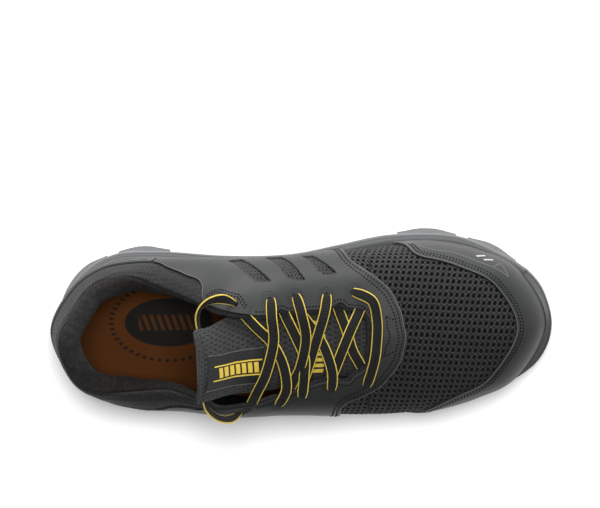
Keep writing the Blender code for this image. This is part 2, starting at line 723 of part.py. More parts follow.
def make_insole():
    """A shaped footbed with a raised edge, loose inside the upper."""
    places = np.linspace(0, len(UPPER_SECTIONS), INSOLE_AROUND, endpoint=False)
    wall = upper_wall(places, 0.0) + 1.2
    edge = upper_offset(places, 0.0, -wall)[:, :2]
    middle = spine(edge)

    def ring(share, lift):
        flat = middle + (edge - middle) * share
        return np.column_stack([flat, seat_height(flat[:, 0]) + GAP + lift])

    shape = (
        # share of the way out from the middle line, lift
        (SPINE_SHARE, 0.15),
        (0.5, 0.15),
        (1.0, 0.15),
        (1.0, INSOLE_EDGE - 1.0),
        (0.975, INSOLE_EDGE),
        (0.80, INSOLE_THICK + 0.6),
        (SPINE_SHARE, INSOLE_THICK),
    )
    bm = bmesh.new()
    loops, _ = add_loops(bm, [ring(share, lift) for share, lift in shape])
    fill(bm, loops[0])
    fill(bm, loops[-1])
    return new_object("insole", bm, (0.420, 0.130, 0.025), 0.85)


# Tongue

TONGUE_SECTIONS = (
    # x, y, z of the top face's middle, half width, thickness, radius of its arch
    (52.0, 3.0, 73.8, 20.0, 3.4, 46.0),
    (32.0, 2.5, 75.6, 24.5, 4.2, 42.0),
    (12.0, 1.5, 79.8, 28.0, 4.6, 40.0),
    (-8.0, 0.0, 86.2, 29.5, 5.2, 40.0),
    (-24.0, -2.0, 92.6, 28.5, 6.0, 41.0),
    (-38.0, -4.0, 101.0, 25.0, 7.0, 43.0),
    (-50.0, -6.5, 111.5, 23.2, 7.6, 46.0),
    (-58.5, -7.0, TONGUE_HEIGHT - 1.5, 23.4, 7.4, 52.0),
    (-60.5, -7.2, TONGUE_HEIGHT + 0.2, 22.4, 4.4, 52.0),
)
TONGUE_STEPS = 15
TONGUE_AROUND = 18


def tongue_frame(place):
    """Middle, up direction and sizes of the tongue at a place along it."""
    rows = np.array(TONGUE_SECTIONS)
    row = catmull(rows, place, closed=False)
    ahead = catmull(rows, np.asarray(place) + 0.05, closed=False)[..., :3]
    behind = catmull(rows, np.asarray(place) - 0.05, closed=False)[..., :3]
    along = ahead - behind
    along /= np.linalg.norm(along, axis=-1, keepdims=True)
    up = np.stack([along[..., 2], np.zeros_like(along[..., 0]), -along[..., 0]], -1)
    return row, up / np.linalg.norm(up, axis=-1, keepdims=True)


def tongue_point(place, across, depth):
    """A point of the tongue: across in half widths, depth below its top face in millimetres."""
    row, up = tongue_frame(place)
    width = np.asarray(across) * row[..., 3]
    arch = row[..., 5]
    sag = arch - np.sqrt(arch**2 - width**2)
    out = np.stack([up[..., 0] * width / arch, width / arch, up[..., 2]], -1)
    point = row[..., :3] + up * -sag[..., None]
    point[..., 1] += width
    return point - out * np.asarray(depth)[..., None]


def make_tongue():
    places = np.linspace(0, len(TONGUE_SECTIONS) - 1, TONGUE_STEPS)
    turns = np.linspace(0, 2 * math.pi, TONGUE_AROUND, endpoint=False)
    across = np.sign(np.cos(turns)) * np.abs(np.cos(turns)) ** 0.7
    level = np.sign(np.sin(turns)) * np.abs(np.sin(turns)) ** 0.6
    rings = []
    for place in places:
        thick = tongue_frame(np.full(TONGUE_AROUND, place))[0][:, 4]
        rings.append(tongue_point(np.full(TONGUE_AROUND, place), across, thick / 2 * (1 - level)))
    bm = bmesh.new()
    loops, _ = add_loops(bm, rings)
    bm.faces.new(loops[0][::-1])
    bm.faces.new(loops[-1])
    return new_object("tongue", bm, (0.024, 0.025, 0.027), 0.9)


PATCH_START = 3.95
PATCH_END = 6.5
PATCH_FRONT = (-0.68, 0.10)
PATCH_REAR = (-0.62, 0.31)


def make_tongue_patch():
    """A smooth patch along the tongue's top face."""
    places, share = np.meshgrid(np.linspace(PATCH_START, PATCH_END, 9), np.linspace(0, 1, 7), indexing="ij")
    edges = np.linspace(PATCH_FRONT, PATCH_REAR, 9)
    across = edges[:, :1] + (edges[:, 1:] - edges[:, :1]) * share
    over = tongue_point(places, across, np.full(places.shape, -GAP - PATCH))
    under = tongue_point(places, across, np.full(places.shape, -GAP))
    bm = bmesh.new()
    rings = [np.concatenate([o, u[::-1]]) for o, u in zip(over, under)]
    loops, _ = add_loops(bm, rings)
    half = share.shape[1]
    for loop in (loops[0], loops[-1]):
        for i in range(half - 1):
            bm.faces.new((loop[i], loop[i + 1], loop[-2 - i], loop[-1 - i]))
    return new_object("tongue_patch", bm, (0.065, 0.068, 0.072), 0.5)


# Lace: each strand's middle line. Strands go down through an eyelet at one end and under the far eyestay at
# the other, and stop clear of both.
LACE_BAR = (
    (31.5, 31.5, 80.3),
    (40.5, 26.5, 82.5),
    (43.5, 15.0, 82.5),
    (43.5, 3.0, 82.5),
    (42.0, -10.5, 81.5),
    (37.5, -23.5, 77.9),
)
LACE_CROSSINGS = (
    # the strand on top, the strand below it
    (
        ((32.0, 17.5, 80.0), (27.5, 7.5, 81.3), (23.0, -4.0, 81.0), (19.5, -13.5, 79.0)),
        ((33.0, -11.5, 76.9), (29.0, -3.5, 79.0), (25.5, 8.5, 80.2), (22.5, 16.5, 79.8)),
    ),
    (
        ((14.0, 29.0, 86.2), (12.5, 20.5, 87.8), (8.0, 4.5, 87.0), (3.5, -11.0, 85.0), (1.0, -19.0, 83.0)),
        ((16.5, -25.0, 82.3), (17.0, -16.0, 83.3), (12.5, -1.5, 84.8), (6.5, 9.0, 86.0), (1.5, 15.8, 86.0)),
    ),
    (
        ((-5.0, 29.5, 91.5), (-1.0, 20.0, 93.0), (1.5, 5.5, 91.6), (-1.5, -11.0, 89.0), (-5.5, -20.5, 86.0)),
        ((-3.0, -28.5, 87.8), (0.5, -17.0, 88.0), (0.5, -6.0, 88.8), (-4.5, 6.5, 90.4), (-8.5, 15.0, 91.2)),
    ),
    (
        ((-19.0, 29.0, 97.0), (-18.5, 19.5, 99.2), (-17.5, 4.5, 98.3), (-22.0, -14.5, 96.0), (-27.0, -26.0, 92.0)),
        ((-13.5, -35.0, 89.8), (-10.0, -24.5, 91.6), (-12.0, -9.5, 94.4), (-18.5, 4.0, 97.2), (-27.5, 13.5, 98.8)),
    ),
)
LACE_STEPS = 9
LACE_LOOP = (
    (-40.0, 28.0, 100.1),
    (-47.5, 31.5, 104.0),
    (-55.5, 30.0, 105.5),
    (-60.8, 24.5, 104.8),
    (-61.6, 16.5, 102.0),
    (-59.2, 7.0, 99.2),
    (-57.4, -4.0, 97.8),
    (-57.4, -15.0, 97.0),
    (-58.4, -26.0, 96.6),
    (-57.0, -35.0, 96.0),
    (-51.0, -41.0, 94.8),
    (-43.8, -42.6, 93.4),
    (-37.8, -38.4, 91.4),
)
LOOP_STEPS = 30


def add_strand(bm, points):
    """A flat lace along a smooth curve through points, lying level across its way."""
    path = catmull(points, np.linspace(0, len(points) - 1, LACE_STEPS), closed=False)
    along = np.gradient(path, axis=0)
    wide = np.cross(along, (0, 0, 1.0))
    wide /= np.linalg.norm(wide, axis=1, keepdims=True)
    up = np.cross(wide, along)
    up /= np.linalg.norm(up, axis=1, keepdims=True)
    shape = ((0.5, 0.0), (0.4, 0.5), (-0.4, 0.5), (-0.5, 0.0), (-0.4, -0.5), (0.4, -0.5))
    loops = np.stack([path + wide * (w * LACE_WIDTH) + up * (h * LACE_THICK) for w, h in shape], 1)
    verts, _ = add_loops(bm, loops)
    bm.faces.new(verts[0][::-1])
    bm.faces.new(verts[-1])


def make_strand(name, points):
    bm = bmesh.new()
    add_strand(bm, points)
    return new_object(name, bm, (0.012, 0.012, 0.013), 0.8)


def make_laces():
    make_strand("lace_bar", LACE_BAR)
    for number, (over, under) in enumerate(LACE_CROSSINGS, 1):
        strand = make_strand(f"lace_cross_{number}", over)
        other = make_strand(f"lace_under_{number}", under)
        other.hide_render = True
        other.display_type = "WIRE"
        cut(strand, other, "UNION")


def make_lace_loop():
    """The free lace from the top medial eyelet behind the tongue to the top lateral eyelet."""
    path = catmull(LACE_LOOP, np.linspace(0, len(LACE_LOOP) - 1, LOOP_STEPS), closed=False)
    curve = bpy.data.curves.new("lace_loop", "CURVE")
    curve.dimensions = "3D"
    curve.bevel_depth = LACE_CORD / 2 * MM
    curve.bevel_resolution = 1
    curve.use_fill_caps = True
    line = curve.splines.new("POLY")
    line.points.add(len(path) - 1)
    for point, co in zip(line.points, path):
        point.co = (*(co * MM), 1.0)
    obj = bpy.data.objects.new("lace_loop", curve)
    bpy.context.scene.collection.objects.link(obj)
    curve.materials.append(new_material("lace_loop", (0.012, 0.012, 0.013), 0.8, 0.0))
    return obj


def clear_scene():
    for obj in list(bpy.data.objects):
        bpy.data.objects.remove(obj, do_unlink=True)


def main():
    clear_scene()
    places, columns = sole_places()
    make_outsole(places, columns)
    make_midsole(places)
    make_insole()
    upper = make_upper()
    make_toe_rand()
    make_heel_counter()
    saddle = make_saddle()
    tabs = [
        make_eyelet_tab("eyelet_tab_medial", TAB_MEDIAL_EDGE),
        make_eyelet_tab("eyelet_tab_lateral", TAB_LATERAL_EDGE),
    ]
    eyelet_cutter = make_eyelet_cutter("eyelet_cutter", EYELETS)
    for obj in (upper, saddle, *tabs):
        cut(obj, eyelet_cutter)
    cut(saddle, make_vent_cutter())
    make_tongue()
    make_tongue_patch()
    make_laces()
    make_lace_loop()


if __name__ == "__main__":
    main()
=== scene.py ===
"""Looks of a low work shoe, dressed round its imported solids.

Lengths in tables are in millimetres in the frame of the solids: +X to the toe, +Y to the inner (medial)
side, +Z up. A place runs round the upper's sections from the back of the heel along the medial side, and up
runs from the sole (0) to the top line (1).
"""

import math

import bpy
import numpy as np
from bpy.props import FloatProperty, FloatVectorProperty, PointerProperty
from mathutils import Matrix, Vector


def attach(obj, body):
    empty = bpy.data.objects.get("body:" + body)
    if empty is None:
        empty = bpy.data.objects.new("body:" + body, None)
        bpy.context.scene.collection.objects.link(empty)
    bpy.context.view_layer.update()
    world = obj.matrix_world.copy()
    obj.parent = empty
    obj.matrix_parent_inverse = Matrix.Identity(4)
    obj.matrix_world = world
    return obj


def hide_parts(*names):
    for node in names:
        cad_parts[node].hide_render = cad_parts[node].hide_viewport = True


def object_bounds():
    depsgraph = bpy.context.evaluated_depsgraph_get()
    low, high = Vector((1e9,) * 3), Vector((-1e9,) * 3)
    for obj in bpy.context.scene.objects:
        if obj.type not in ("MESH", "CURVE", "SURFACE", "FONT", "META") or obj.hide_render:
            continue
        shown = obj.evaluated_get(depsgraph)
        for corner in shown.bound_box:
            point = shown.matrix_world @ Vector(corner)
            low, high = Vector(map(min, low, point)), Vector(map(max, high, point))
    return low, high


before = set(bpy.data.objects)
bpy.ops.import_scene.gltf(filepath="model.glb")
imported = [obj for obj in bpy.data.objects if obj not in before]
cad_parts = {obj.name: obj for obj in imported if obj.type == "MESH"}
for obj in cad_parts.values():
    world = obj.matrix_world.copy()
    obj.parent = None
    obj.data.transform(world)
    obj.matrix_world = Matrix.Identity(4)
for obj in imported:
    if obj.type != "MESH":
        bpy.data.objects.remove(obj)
CAD_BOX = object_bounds()

bl_info = {
    "name": "Work shoe looks",
    "version": (1, 0, 0),
    "blender": (4, 5, 0),
    "location": "3D View > Sidebar > Shoe",
    "description": "Dresses the solids of a low work shoe with cloth, coated panels, lace and rubber",
    "category": "Object",
}

MM = 0.001

# Main sizes

LENGTH, BALL_WIDTH = 304.0, 115.0
HEEL_STACK, BALL_STACK = 33.0, 24.0
INSTEP_HEIGHT, TONGUE_HEIGHT = 103.0, 121.0
WALL, TOE_WALL, OVERLAY, TAB, PATCH, GAP = 2.4, 4.4, 1.2, 1.1, 0.9, 0.3
PANEL_TOP = GAP + OVERLAY
FOOT_INSET = 2.2

# Stage: places in metres, power in watts, the camera's sensor in millimetres

CAMERA_AIM, LIGHT_AIM = (-0.002, 0.0415, 0), (0, 0, 0.04)
SENSOR_WIDTH, NEAREST_SEEN = 36.0, 0.05
FLOOR_SIZE, FLOOR_GLOW, WORLD_GLOW = 8.0, 0.06, 0.05
LIGHTS = (
    # name, place, width, height, power, falls on the floor alone
    ("low_key", (-0.10, 1.36, 0.36), 1.5, 0.45, 24.0, False),
    ("overhead", (0.05, 0.48, 1.80), 0.9, 0.9, 26.0, False),
    ("front", (1.30, 0.05, 0.75), 0.8, 0.8, 3.0, False),
    ("floor_wash", (0.0, 0.50, 1.70), 0.45, 0.45, 15.0, True),
)

# Sole

LUG_REACH, LUG_END, LUG_ROUND, LUG_DEPTH, OUTSOLE_RIM = 3.3, 0.45, 15.0, 4.0, 12.0
LUG_STEP, LUG_TAPER = 0.13, 0.35  # rows of the outline, share of the reach lost at the top
LUG_BEVEL, LUG_CORNER = 0.9, 38.0  # width, and degrees from which an edge is bevelled
EDGE_LUG, CENTRE_LUG = 1, 2  # marks of the faces that become lugs
EDGE_LUG_SHARE, CENTRE_LUG_SHARE, SPINE_SHARE, TREAD_SPINE = 0.64, 0.54, 0.10, 0.004
PAD_RIM, PAD_SLOPE, PAD_SINK = 1.6, 0.7, 0.8
SOLE_LINE_OUT, SOLE_LINE_UP, SOLE_LINE_HALF_WIDTH, SOLE_LINE_HALF_HEIGHT = 1.0, 0.25, 1.0, 0.8
HALF_LENGTH, HALF_WIDTH = LENGTH / 2 - LUG_REACH, BALL_WIDTH / 2 - LUG_REACH
SOLE_OUTLINE = (
    # along, across: shares of HALF_LENGTH and HALF_WIDTH
    (-1.000, 0.065), (-0.940, 0.470), (-0.800, 0.745), (-0.640, 0.800), (-0.330, 0.755), (-0.060, 0.775),
    (0.152, 0.880), (0.363, 0.990), (0.605, 0.990), (0.787, 0.827), (0.935, 0.563), (1.000, 0.110),
    (0.962, -0.310), (0.830, -0.640), (0.620, -0.880), (0.383, -0.980), (0.135, -0.985), (-0.150, -0.905),
    (-0.430, -0.815), (-0.680, -0.750), (-0.850, -0.610), (-0.958, -0.310),
)
TOE_PLACE = 11  # the outline's row at the tip of the toe
SOLE_PROFILE = (
    # along (share of LENGTH / 2), tread, seat
    (-1.00, 6.0, HEEL_STACK + 1.5), (-0.90, 0.8, HEEL_STACK + 0.5), (-0.82, 0.0, HEEL_STACK),
    (-0.50, 0.0, HEEL_STACK - 1.5), (-0.32, 2.6, HEEL_STACK - 3.5), (-0.10, 4.2, BALL_STACK + 3.5),
    (0.10, 2.4, BALL_STACK + 1.2), (0.24, 0.0, BALL_STACK), (0.58, 0.0, BALL_STACK),
    (0.78, 3.0, BALL_STACK + 1.6), (0.90, 8.0, BALL_STACK + 4.0), (1.00, 14.0, BALL_STACK + 6.5),
)
HEEL_WRAP, TOE_WRAP = (-0.800, -0.815, 1.0), (0.893, 0.860, 1.0)
MEDIAL_LUGS = (
    # start, end: shares of LENGTH / 2, then 1 where the lug stands out of the sole's side
    (-0.752, -0.545, 1.0), (-0.490, -0.330, 0.0), (0.130, 0.335, 0.0), (0.385, 0.622, 1.0),
    (0.672, 0.862, 1.0),
)
LATERAL_LUGS = (
    (-0.770, -0.560, 1.0), (-0.505, -0.330, 0.0), (0.060, 0.270, 1.0), (0.320, 0.545, 1.0),
    (0.595, 0.820, 1.0),
)
FOAM_SIDE = (
    # out from the outline, share of the foam's height
    (0.0, 0.0), (0.5, 0.05), (0.8, 0.14), (0.9, 0.27), (0.7, 0.40), (0.1, 0.46), (-0.55, 0.50),
    (-0.55, 0.54), (0.1, 0.58), (0.6, 0.64), (0.7, 0.77), (0.5, 0.88), (0.0, 0.96), (-0.8, 1.0),
)
FOOTBED_SLACK = 1.2
FOOTBED_SHAPE = (
    # share of the way from the middle line to the edge, height over the seat
    (SPINE_SHARE, 0.15), (0.5, 0.15), (0.97, 0.15), (1.0, 0.5), (1.0, 5.6), (0.992, 6.9), (0.975, 7.4),
    (0.955, 7.2), (0.925, 6.5), (0.88, 5.7), (0.80, 5.1), (0.6, 4.8), (0.35, 4.6), (SPINE_SHARE, 4.5),
)
BUMPER_RISE, BUMPER_GAP, BUMPER_SEAT, BUMPER_FOOT, BUMPER_LIP = 7.5, 0.25, 0.45, 4.0, 0.6
BUMPER_RISES_FROM = ((0, 34), (8, 52))  # distances from its medial end, and from its lateral end
BUMPER_ROOT = 1.2
BUMPER_SIDE = (
    # out from the outline, share of the height from the bumper's foot to its top
    (2.85, 0.0), (3.30, 0.06), (3.40, 0.20), (3.40, 0.48), (3.30, 0.51), (2.85, 0.54), (2.85, 0.57),
    (3.20, 0.60), (3.25, 0.75), (2.95, 0.90), (2.45, 0.98), (2.15, 1.0), (1.95, 0.93), (1.75, 0.93),
    (1.60, 1.0),
)

# Upper

UPPER_SECTIONS = (
    # foot, side, top, across, top_z, belly, rise, reach, drop, pad
    (-0.960, 0, -0.955, 0.057, 0.845, 9.0, 0.45, 0.15, 14.0, 9.0),
    (-0.905, 1, -0.885, 0.414, 0.801, 8.0, 0.45, 0.15, 14.0, 9.0),
    (-0.780, 1, -0.809, 0.623, 0.743, 7.0, 0.48, 0.20, 12.0, 9.0),
    (-0.630, 1, -0.678, 0.715, 0.684, 7.0, 0.50, 0.35, 10.0, 9.0),
    (-0.470, 1, -0.533, 0.617, 0.699, 11.0, 0.52, 0.50, 9.0, 8.5),
    (-0.330, 1, -0.408, 0.470, 0.806, 15.0, 0.52, 0.58, 9.0, 5.0),
    (-0.205, 1, -0.322, 0.391, 0.951, 18.0, 0.52, 0.62, 9.0, WALL),
    (-0.075, 1, -0.178, 0.339, 0.951, 18.0, 0.52, 0.62, 8.0, WALL),
    (0.060, 1, -0.046, 0.360, 0.879, 16.0, 0.52, 0.62, 7.0, WALL),
    (0.200, 1, 0.092, 0.360, 0.816, 10.0, 0.58, 0.62, 6.0, WALL),
    (0.360, 1, 0.211, 0.351, 0.767, 5.0, 0.66, 0.60, 6.0, WALL),
    (0.530, 1, 0.245, 0.261, 0.757, 3.5, 0.74, 0.58, 6.0, WALL),
    (0.700, 1, 0.252, 0.165, 0.759, 3.0, 0.77, 0.56, 6.5, WALL),
    (0.865, 1, 0.254, 0.104, 0.760, 2.5, 0.78, 0.54, 7.5, WALL),
    (0.960, 0, 0.255, 0.052, 0.760, 2.5, 0.78, 0.54, 8.0, WALL),
    (0.870, -1, 0.254, 0.000, 0.757, 2.5, 0.78, 0.54, 7.5, WALL),
    (0.720, -1, 0.251, -0.070, 0.752, 2.5, 0.77, 0.56, 6.5, WALL),
    (0.550, -1, 0.242, -0.191, 0.745, 2.0, 0.74, 0.58, 6.0, WALL),
    (0.390, -1, 0.204, -0.310, 0.743, 1.5, 0.70, 0.60, 6.0, WALL),
    (0.240, -1, 0.079, -0.374, 0.777, 0.0, 0.68, 0.62, 6.5, WALL),
    (0.090, -1, -0.053, -0.470, 0.820, -1.0, 0.66, 0.62, 7.0, WALL),
    (-0.060, -1, -0.184, -0.591, 0.854, -0.5, 0.64, 0.62, 7.5, WALL),
    (-0.205, -1, -0.322, -0.661, 0.835, 3.0, 0.62, 0.66, 8.5, WALL),
    (-0.330, -1, -0.408, -0.635, 0.748, 6.5, 0.62, 0.66, 8.0, 5.0),
    (-0.470, -1, -0.526, -0.595, 0.680, 8.5, 0.62, 0.60, 7.0, 8.5),
    (-0.630, -1, -0.658, -0.617, 0.650, 10.5, 0.60, 0.50, 8.0, 9.0),
    (-0.780, -1, -0.820, -0.570, 0.709, 9.0, 0.52, 0.25, 11.0, 9.0),
    (-0.905, -1, -0.910, -0.360, 0.786, 8.0, 0.46, 0.15, 14.0, 9.0),
)
AROUND = len(UPPER_SECTIONS)
TOE_COLUMN = 14.0  # the place of the toe's section
THROAT_END = 40.0
SHELL_COLUMNS, OUTER_ROWS, INNER_ROWS = 336, 42, 52
RIM_TURNS = np.radians(np.arange(7.5, 180, 7.5))
SEAM_ROWS = np.array([-2.2, -1.5, -1.0, -0.6, -0.25, 0.25, 0.6, 1.0, 1.5, 2.2])
SEAM_BAND, SEAM_WIDTH = 3.0, 0.7
SEAM_BEFORE_RIM = (
    # place, how far the collar's seam lies outside the rim's crest
    (-14.0, 1.0), (-5.0, 1.4), (-3.0, 2.0), (-2.0, 3.2), (-1.0, 3.4), (0.0, 4.0), (1.0, 6.5), (2.0, 7.5),
    (3.0, 4.0), (4.0, 2.0), (5.0, 1.4), (14.0, 1.0),
)
LINING_ROLL = (
    # place, how much thicker the lining's padding is inside the collar than the wall of the form
    (-14.0, 0.0), (-5.2, 0.0), (-2.6, 5.0), (-1.0, 5.0), (0.0, 4.6), (0.8, 3.4), (1.6, 2.6), (2.6, 3.4),
    (5.2, 0.0), (14.0, 0.0),
)
COLLAR_PUFF, SUNK_UNDER_VAMP, SUNK_UNDER_VENTS = 0.9, 1.75, 1.2
OVERLAY_FOOT, OVERLAY_TOP = 0.012, 0.985
RAND_EDGE = (
    # place, up
    (10.02, 0.08), (10.65, 0.35), (11.3, 0.39), (12.0, 0.39), (13.0, 0.38), (14.0, 0.39), (15.0, 0.41),
    (16.0, 0.41), (17.0, 0.34), (17.9, 0.08),
)
SADDLE_FRONT = (
    (3.36, 0.012), (8.35, 0.012), (9.10, 0.46), (9.70, 0.63), (11.0, 0.78), (12.2, 0.835), (14.0, 0.872),
    (16.0, 0.840), (17.2, 0.815), (18.45, 0.74), (19.2, 0.60), (20.0, 0.012), (24.64, 0.012),
)
SADDLE_TOP = (
    (3.36, 0.56), (3.80, 0.70), (4.30, 0.77), (4.95, 0.84), (5.20, 0.985), (22.80, 0.985), (23.05, 0.84),
    (23.70, 0.77), (24.20, 0.70), (24.64, 0.56),
)
COUNTER_EDGE = ((24.68, 0.52), (26.0, 0.42), (28.0, 0.42), (30.0, 0.42), (31.32, 0.52))
TAB_EDGES = {
    "medial": ((5.24, 0.91), (5.55, 0.83), (6.30, 0.82), (6.72, 0.91)),
    "lateral": ((21.28, 0.91), (21.70, 0.84), (22.45, 0.84), (22.76, 0.91)),
}
SCALLOPS = (
    # place, half width, depth: dips of the eyestay's edge between its eyelets
    (7.62, 0.26, 0.030), (9.28, 0.34, 0.055), (18.45, 0.34, 0.050), (20.25, 0.28, 0.030),
)
EYELETS = (
    # place, up: medial from the top to the toe, then lateral
    (6.30, 0.915), (7.20, 0.870), (7.95, 0.870), (8.80, 0.870), (9.55, 0.845),
    (21.60, 0.925), (20.55, 0.900), (19.85, 0.910), (19.00, 0.905), (17.95, 0.880),
)
TABBED_EYELETS = (0, 5)
EYELET_BORE, SPARE_BORE, PIN_LENGTH = 4.6, 2.6, 14.0
SPARE_HOLE = (5.80, 0.885)
VENTS = (
    # foot end rear, foot end front, tip, rounded corner behind the tip: each place, up
    ((5.41, 0.417), (5.85, 0.375), (7.02, 0.687), (6.52, 0.675)),
    ((6.52, 0.325), (7.03, 0.320), (8.07, 0.715), (7.51, 0.667)),
    ((7.69, 0.372), (8.03, 0.390), (8.87, 0.640), (8.48, 0.652)),
)
VENT_SWELL = 0.012
VENT_CUT = (-3.0, 8.0)
VENT_CELL_RATIO, VENT_HOLE, VENT_PIN = 1.35, 0.62, 0.22  # shares of its pitch, and of half a cell
VENT_RELIEF, VENT_LIFT, VENT_SPREAD = 0.55, 0.45, 1.12
CELL_SIDES = 16
HOLE_RATIO = (0.94, 1.12)  # a hole's length along and across the shoe, against a round one's
MESH_ROWS, MESH_REACH, MESH_START = 44, 28, 16.0
MESH_SKEW, MESH_PIN = 0.17, 0.27
CELL_CORNER, CELL_RIB, CELL_LINK, CELL_REST = -0.7, 0.28, 0.02, 0.12  # heights round a cell's edge
# painted shade in the pin hole at each corner of a cell
CELL_CORNER_SHADE = 0.9
CELL_RINGS = (
    # share of the hole's width, height, how much painted shade: the lip, wall and floor of a cell's hole
    (0.5, 0.05, 0.0), (0.42, -0.7, 0.6), (0.34, -1.25, 1.0),
)
VAMP_FROM, VAMP_TO, VAMP_HALF_GIRTH, VAMP_PLACES = 14.0, 146.0, 110.0, (8.2, 20.0)
BELOW_FOOT, BELOW_FOOT_UP = 5.0, -0.06  # how far the mesh goes on below the foot of the form
ROW_LEAN, LEAN_FROM = 0.11, 75.0
UNDER_RAND, UNDER_SADDLE = 0.075, 0.055
PANEL_EDGE = 0.5
RAND_STEP, SADDLE_STEP, COUNTER_STEP = 1.3, 1.15, 1.5
PANEL_ROUNDING = ((0.0, 0.55), (0.12, 0.22), (0.45, 0.05))  # shares, in from the edge and down from the top
EMBOSSED_ARCHES = ((5.6, 5.0), (4.0, 3.6))  # reach below the eyelet, half width
ARCH_ARMS = (3.4, 1.6)  # heights of an arch's end and of its shoulder above the eyelet's middle
EMBOSS_SINK, EMBOSS_WIDTH, EMBOSS_THICK = 0.04, 0.7, 0.42
# a pale line beside each panel's edge, a painted highlight
EDGE_HIGHLIGHT_IN, EDGE_HIGHLIGHT_SINK, EDGE_HIGHLIGHT_WIDTH, EDGE_HIGHLIGHT_THICK = 0.30, 0.16, 0.55, 0.45
RAND_LINE = ((10.35, 0.12), (10.9, 0.255), (11.55, 0.255), (12.25, 0.265), (12.95, 0.25))
RAND_LINE_END = ((12.95, 0.25), (12.60, 0.17), (12.55, 0.25))
RAND_LINE_WIDTH, RAND_END_WIDTH, RAND_LINE_THICK = 0.55, 0.5, 0.3
DASH_WIDTH, DASH_THICK = 1.4, 0.35
RAND_DASHES = (((12.06, 0.20), (12.21, 0.14)), ((12.26, 0.215), (12.42, 0.165)))
THROAT_STITCHES = ((12.6, 0.885), (11.9, 0.905), (12.9, 0.925), (14.9, 0.935), (15.8, 0.925), (15.0, 0.897))
STITCH_HALF_WIDTH, STITCH_HALF_HEIGHT, STITCH_LIFT = 0.50, 0.30, 0.05
RIDGE_STEP = 0.7

# Tongue and lace

TONGUE_SECTIONS = (
    # x, y, z of the top face's middle, half width, thickness, radius of its arch
    (52.0, 3.0, 73.8, 20.0, 3.4, 46.0),
    (32.0, 2.5, 75.6, 24.5, 4.2, 42.0),
    (12.0, 1.5, 79.8, 28.0, 4.6, 40.0),
    (-8.0, 0.0, 86.2, 29.5, 5.2, 40.0),
    (-24.0, -2.0, 92.6, 28.5, 6.0, 41.0),
    (-38.0, -4.0, 101.0, 25.0, 7.0, 43.0),
    (-50.0, -6.5, 111.5, 23.2, 7.6, 46.0),
    (-58.5, -7.0, TONGUE_HEIGHT - 1.5, 23.4, 7.4, 52.0),
    (-60.5, -7.2, TONGUE_HEIGHT + 0.2, 22.4, 4.4, 52.0),
)
TONGUE_CORNER = 4.5
TONGUE_SEAM = (6.78, 0.055, 1.3)  # place, width, depth
TONGUE_FOLD = (6.84, 1.16, 0.8)  # start, length, height
TONGUE_PUFF = (3.2, 3.5, 0.4)
PATCH_ALONG, PATCH_FRONT, PATCH_REAR = (3.95, 6.5), (-0.68, 0.10), (-0.62, 0.31)
PRINT_LIFT, PRINT_THICK = 0.10, 0.25
PATCH_RIMS, PATCH_RIM = (0.005, 0.973), 0.022
BARS_FRONT, BARS_REAR, BARS_LOW, BARS_HIGH, BAR_LINE = 0.02, 0.86, 0.26, 0.66, 0.035
BAR_PITCH, BAR_WIDTH, BAR_SLANT = 0.102, 0.07, 0.03
LOWER_BARS, LOWER_BAR_WIDTH, LOWER_BAR_SLANT = np.arange(-0.70, 0.36, 0.13), 0.075, 0.05
LOWER_BARS_ALONG = (1.95, 2.40)
LACE_BAR = (
    (31.5, 31.5, 80.3), (40.5, 26.5, 82.5), (43.5, 15.0, 82.5), (43.5, 3.0, 82.5), (42.0, -10.5, 81.5),
    (37.5, -23.5, 77.9),
)
LACE_CROSSINGS = (
    # the strand on top, the strand below it
    (
        ((32.0, 17.5, 80.0), (27.5, 7.5, 81.3), (23.0, -4.0, 81.0), (19.5, -13.5, 79.0)),
        ((33.0, -11.5, 76.9), (29.0, -3.5, 79.0), (25.5, 8.5, 80.2), (22.5, 16.5, 79.8)),
    ),
    (
        ((14.0, 29.0, 86.2), (12.5, 20.5, 87.8), (8.0, 4.5, 87.0), (3.5, -11.0, 85.0), (1.0, -19.0, 83.0)),
        ((16.5, -25.0, 82.3), (17.0, -16.0, 83.3), (12.5, -1.5, 84.8), (6.5, 9.0, 86.0), (1.5, 15.8, 86.0)),
    ),
    (
        ((-5.0, 29.5, 91.5), (-1.0, 20.0, 93.0), (1.5, 5.5, 91.6), (-1.5, -11.0, 89.0), (-5.5, -20.5, 86.0)),
        ((-3.0, -28.5, 87.8), (0.5, -17.0, 88.0), (0.5, -6.0, 88.8), (-4.5, 6.5, 90.4), (-8.5, 15.0, 91.2)),
    ),
    (
        (
            (-19.0, 29.0, 97.0), (-18.5, 19.5, 99.2), (-17.5, 4.5, 98.3), (-22.0, -14.5, 96.0),
            (-27.0, -26.0, 92.0),
        ),
        (
            (-13.5, -35.0, 89.8), (-10.0, -24.5, 91.6), (-12.0, -9.5, 94.4), (-18.5, 4.0, 97.2),
            (-27.5, 13.5, 98.8),
        ),
    ),
)
LACE_LOOP = (
    (-40.0, 28.0, 100.1), (-47.5, 31.5, 104.0), (-55.5, 30.0, 105.5), (-60.8, 24.5, 104.8),
    (-61.6, 16.5, 102.0), (-59.2, 7.0, 99.2), (-57.4, -4.0, 97.8), (-57.4, -15.0, 97.0),
    (-58.4, -26.0, 96.6), (-57.0, -35.0, 96.0), (-51.0, -41.0, 94.8), (-43.8, -42.6, 93.4),
    (-37.8, -38.4, 91.4),
)
LOOP_ROLL = (-10, 15, 60, 80, 80, 80, 75, 70, 60)  # degrees, at even steps along the loop
EYELET_RISE = (-5.5, -1.0, 2.6)  # heights over the upper's form that a lace passes in an eyelet
LACE_TUCK = ((6.0, -1.0), (11.0, -2.8))  # how far on and how far up a tucked end goes
LACE_PINCH, PINCHED_FROM, LACE_RIB_RELIEF = 0.52, (3.0, 13.0), 0.13
